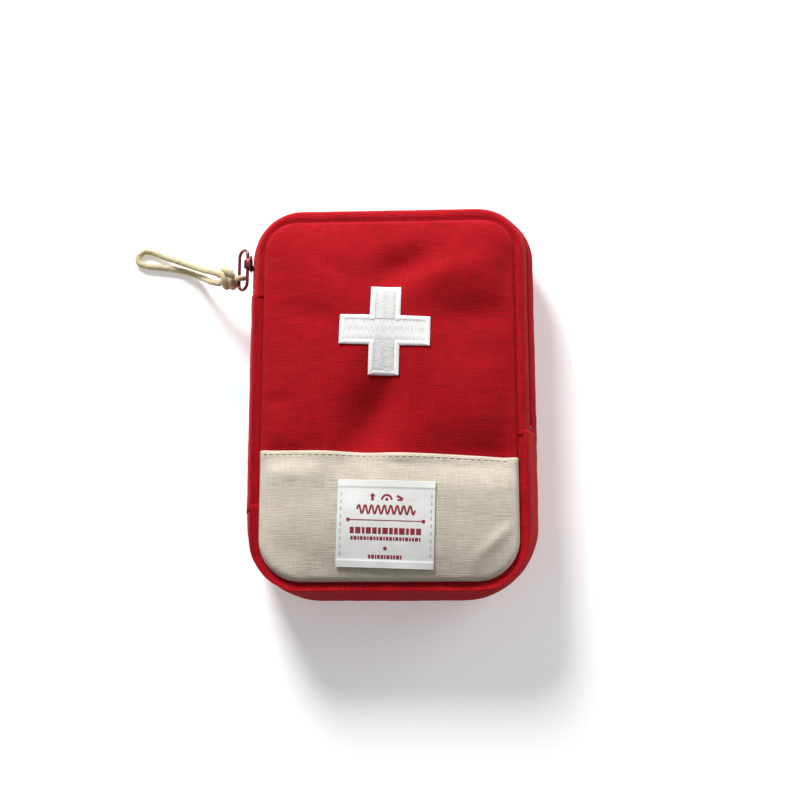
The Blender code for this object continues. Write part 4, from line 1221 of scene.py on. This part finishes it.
def bandage():
    """A strip folded to and fro into a pad."""
    low, high, layers = vec(0.0062, -0.0795, 0.0189), vec(0.0528, -0.0424, 0.0267), 5
    pitch = (high.z - low.z - 0.0008) / (layers - 1)
    fold = []
    for k in range(layers):
        z, sign = low.z + 0.0004 + pitch * k, 1 if k % 2 == 0 else -1
        start, end = (low.y + pitch, high.y - pitch)[::sign]
        fold += [(y, z) for y in spaced(start, end, 10)]
        if k < layers - 1:
            fold += [(end + sign * pitch * 0.8 * cos(a), z + pitch / 2 * (1 + sin(a)))
                     for a in spaced(-pi / 2, pi / 2, 8)[1:-1]]
    rows = []
    for x in spaced(low.x, high.x, 14):
        rows.append([vec(x, y, z + 0.0002 * noise(vec(x, y, z) * 150.0)) for y, z in fold])
    strip = (high.x - low.x, lengths([vec(0.0, y, z) for y, z in fold])[-1])
    return thicken(sheet_grid("bandage_folded", rows, GAUZE), 0.0007, 0.0), strip


def packet(name, low, high, finish, crimp=0.003):
    """A flat packet: two sheets sealed along a ridged edge, a little full in the middle."""
    low, high = Vector(low), Vector(high)
    half, middle = (high - low) / 2, (high + low) / 2
    columns, rows = 34, 26
    count, points = columns * rows, []
    for sign in (1, -1):
        for v in spaced(-1.0, 1.0, rows):
            for u in spaced(-1.0, 1.0, columns):
                full = ramp(min((1 - abs(u)) * half.x, (1 - abs(v)) * half.y), crimp)
                swell = half.z * (0.16 + 0.84 * full**2 * (1 - 0.35 * u * u - 0.35 * v * v))
                ridge = 0.06 * half.z * sin(40 * (u + v)) * (1 - full)
                points.append(middle + vec(u * half.x, v * half.y, sign * swell + ridge))
    top = grid_faces(rows, columns)
    faces = flipped(top) + [tuple(count + k for k in f) for f in top]
    rim = [*range(columns), *range(2 * columns - 1, count, columns)]
    rim += [*range(count - 2, count - columns - 1, -1), *range(count - 2 * columns, 0, -columns)]
    faces += [(a, count + a, count + b, b) for a, b in zip(rim, rim[1:] + rim[:1])]
    return mesh_piece(name, points, faces, finish)


def ointment():
    """A small tube that flattens to a crimped end, and its ribbed screw cap."""
    z = INNER_FLOOR + 0.0074
    stages = [  # y, half of its width and half of its depth
        (0.0561, 0.0034, 0.0034), (0.0556, 0.0052, 0.0052), (0.0546, 0.0067, 0.0067), (0.053, 0.007, 0.007),
        (0.04, 0.007, 0.007), (0.03, 0.007, 0.0069), (0.02, 0.0071, 0.0058), (0.01, 0.0073, 0.0044),
        (0.003, 0.0076, 0.0022), (-0.0005, 0.0078, 0.0008), (-0.002, 0.0078, 0.0006),
        (-0.004, 0.0078, 0.0007), (-0.0058, 0.0078, 0.0006)]
    points = []
    for y, across, deep in stages:
        points += [vec(TUBE_X + across * cos(a), y, z + deep * sin(a)) for a in turns(40)]
    tube = mesh_piece("ointment_tube_wall", points, flipped(tube_faces(len(stages), 40)), TUBE, sharp=60)
    cap = [(0.0, 0.0089), (0.0046, 0.0089), (0.0051, 0.0084), (0.0055, 0.0006), (0.0054, 0.0), (0.0, 0.0)]
    along_y = Matrix.Rotation(-pi / 2, 3, "X")
    lid = lathe("ointment_cap_ribbed", cap, vec(TUBE_X, 0.0564, z), GRIP, 96, along_y, 24, 0.0003)
    return tube, lid


def grip(name, sign):
    """A moulded finger loop of the scissors."""
    middle = vec(SCISSORS_X - sign * 0.0105, 0.0565, INNER_FLOOR + 0.0029)
    route = [middle + vec(0.0078 * cos(a), 0.0106 * sin(a)) for a in turns(40)]
    return closed_tube(name, route, 0.00148, GRIP)


POCKET_LOW, POCKET_HIGH, POCKET_Z = vec(-0.01, 0.028), vec(0.047, 0.069), 0.0286


def pocket_net():
    """The mesh pocket under the flap, of knitted diamonds, sewn on three sides."""
    bm = bmesh.new()
    columns, rows, grid = 38, 28, {}
    for j in range(rows + 1):
        for i in range(j % 2, columns + 1, 2):
            u, v = i / columns, j / rows
            x = POCKET_LOW.x + (POCKET_HIGH.x - POCKET_LOW.x) * u
            y = POCKET_LOW.y + (POCKET_HIGH.y - POCKET_LOW.y) * v
            share = min(min(u, 1 - u, (1 - v) * 0.8) * 9.0, 1.0) ** 1.5
            high = on_front(x, y) - 0.004
            grid[(i, j)] = bm.verts.new((x, y, high + (POCKET_Z - high) * share))
    for i, j in grid:
        corners = [(i, j), (i + 1, j + 1), (i, j + 2), (i - 1, j + 1)]
        if all(c in grid for c in corners):
            bm.faces.new([grid[c] for c in corners])
    o = bmesh_piece("pocket_net", bm, NET)
    m = o.modifiers.new("threads", "WIREFRAME")
    m.thickness, m.use_replace, m.use_even_offset = 0.00032, True, False
    return settle(o)


def pocket_edge():
    low = vec(POCKET_LOW.x + 0.005, POCKET_LOW.y - 0.0002, POCKET_Z - 0.0007)
    high = vec(POCKET_HIGH.x - 0.005, POCKET_LOW.y + 0.003, POCKET_Z + 0.0005)
    return rounded_box("pocket_edge_tape", low, high, 0.0005, RED_EDGE)


ROLL_HALF, ROLL_MIDDLE = 0.0062, vec(0.03, -0.06, INNER_FLOOR + 0.0067)
WOUND = [(0.0119, ROLL_HALF), (0.016, ROLL_HALF), (0.0164, ROLL_HALF - 0.0003)]
CORE = [(0.0106, ROLL_HALF), (0.0114, ROLL_HALF)]
for name, half, finish, stands_for in (("tape_wound", WOUND, TAPE, "adhesive_tape"),
                                       ("tape_card_core", CORE, CARD, "tape_core")):
    profile = half + [(r, -h) for r, h in reversed(half)]
    place(lathe(name, profile, ROLL_MIDDLE, finish, 72), "base", stands_for)

(pad, strip), (tube, lid) = bandage(), ointment()
place(pad, "base", "folded_bandage")
place(tube, "base", "ointment_tube")
place(lid, "base", "ointment_cap")
place(elastic(), "base", "elastic_webbing")
place(spiral_roll(), "base", "gauze_roll")
place(pocket_net(), "flap", "flap_mesh_pocket")
place(pocket_edge(), "flap", "flap_pocket_binding")
for k in (1, 2):
    place(packet(f"wipe_packet_{k}", *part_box(f"wipe_sachet_{k}"), SACHET), "base", f"wipe_sachet_{k}")
for k in (1, 2, 3):
    place(packet(f"plaster_packet_{k}", *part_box(f"plaster_{k}"), PLASTER, 0.002), "flap", f"plaster_{k}")
for key, sign, body in (("a", 1, "base"), ("b", -1, "scissor_half")):
    place(grip(f"grip_loop_{key}", sign), body, f"scissor_grip_{key}")
for name in ("tweezers_leaf_lower", "tweezers_leaf_upper", "scissor_blade_a", "scissor_blade_b",
             "scissor_rivet"):
    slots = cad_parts[name].data.materials
    slots.clear()
    slots.append(STEEL[0])
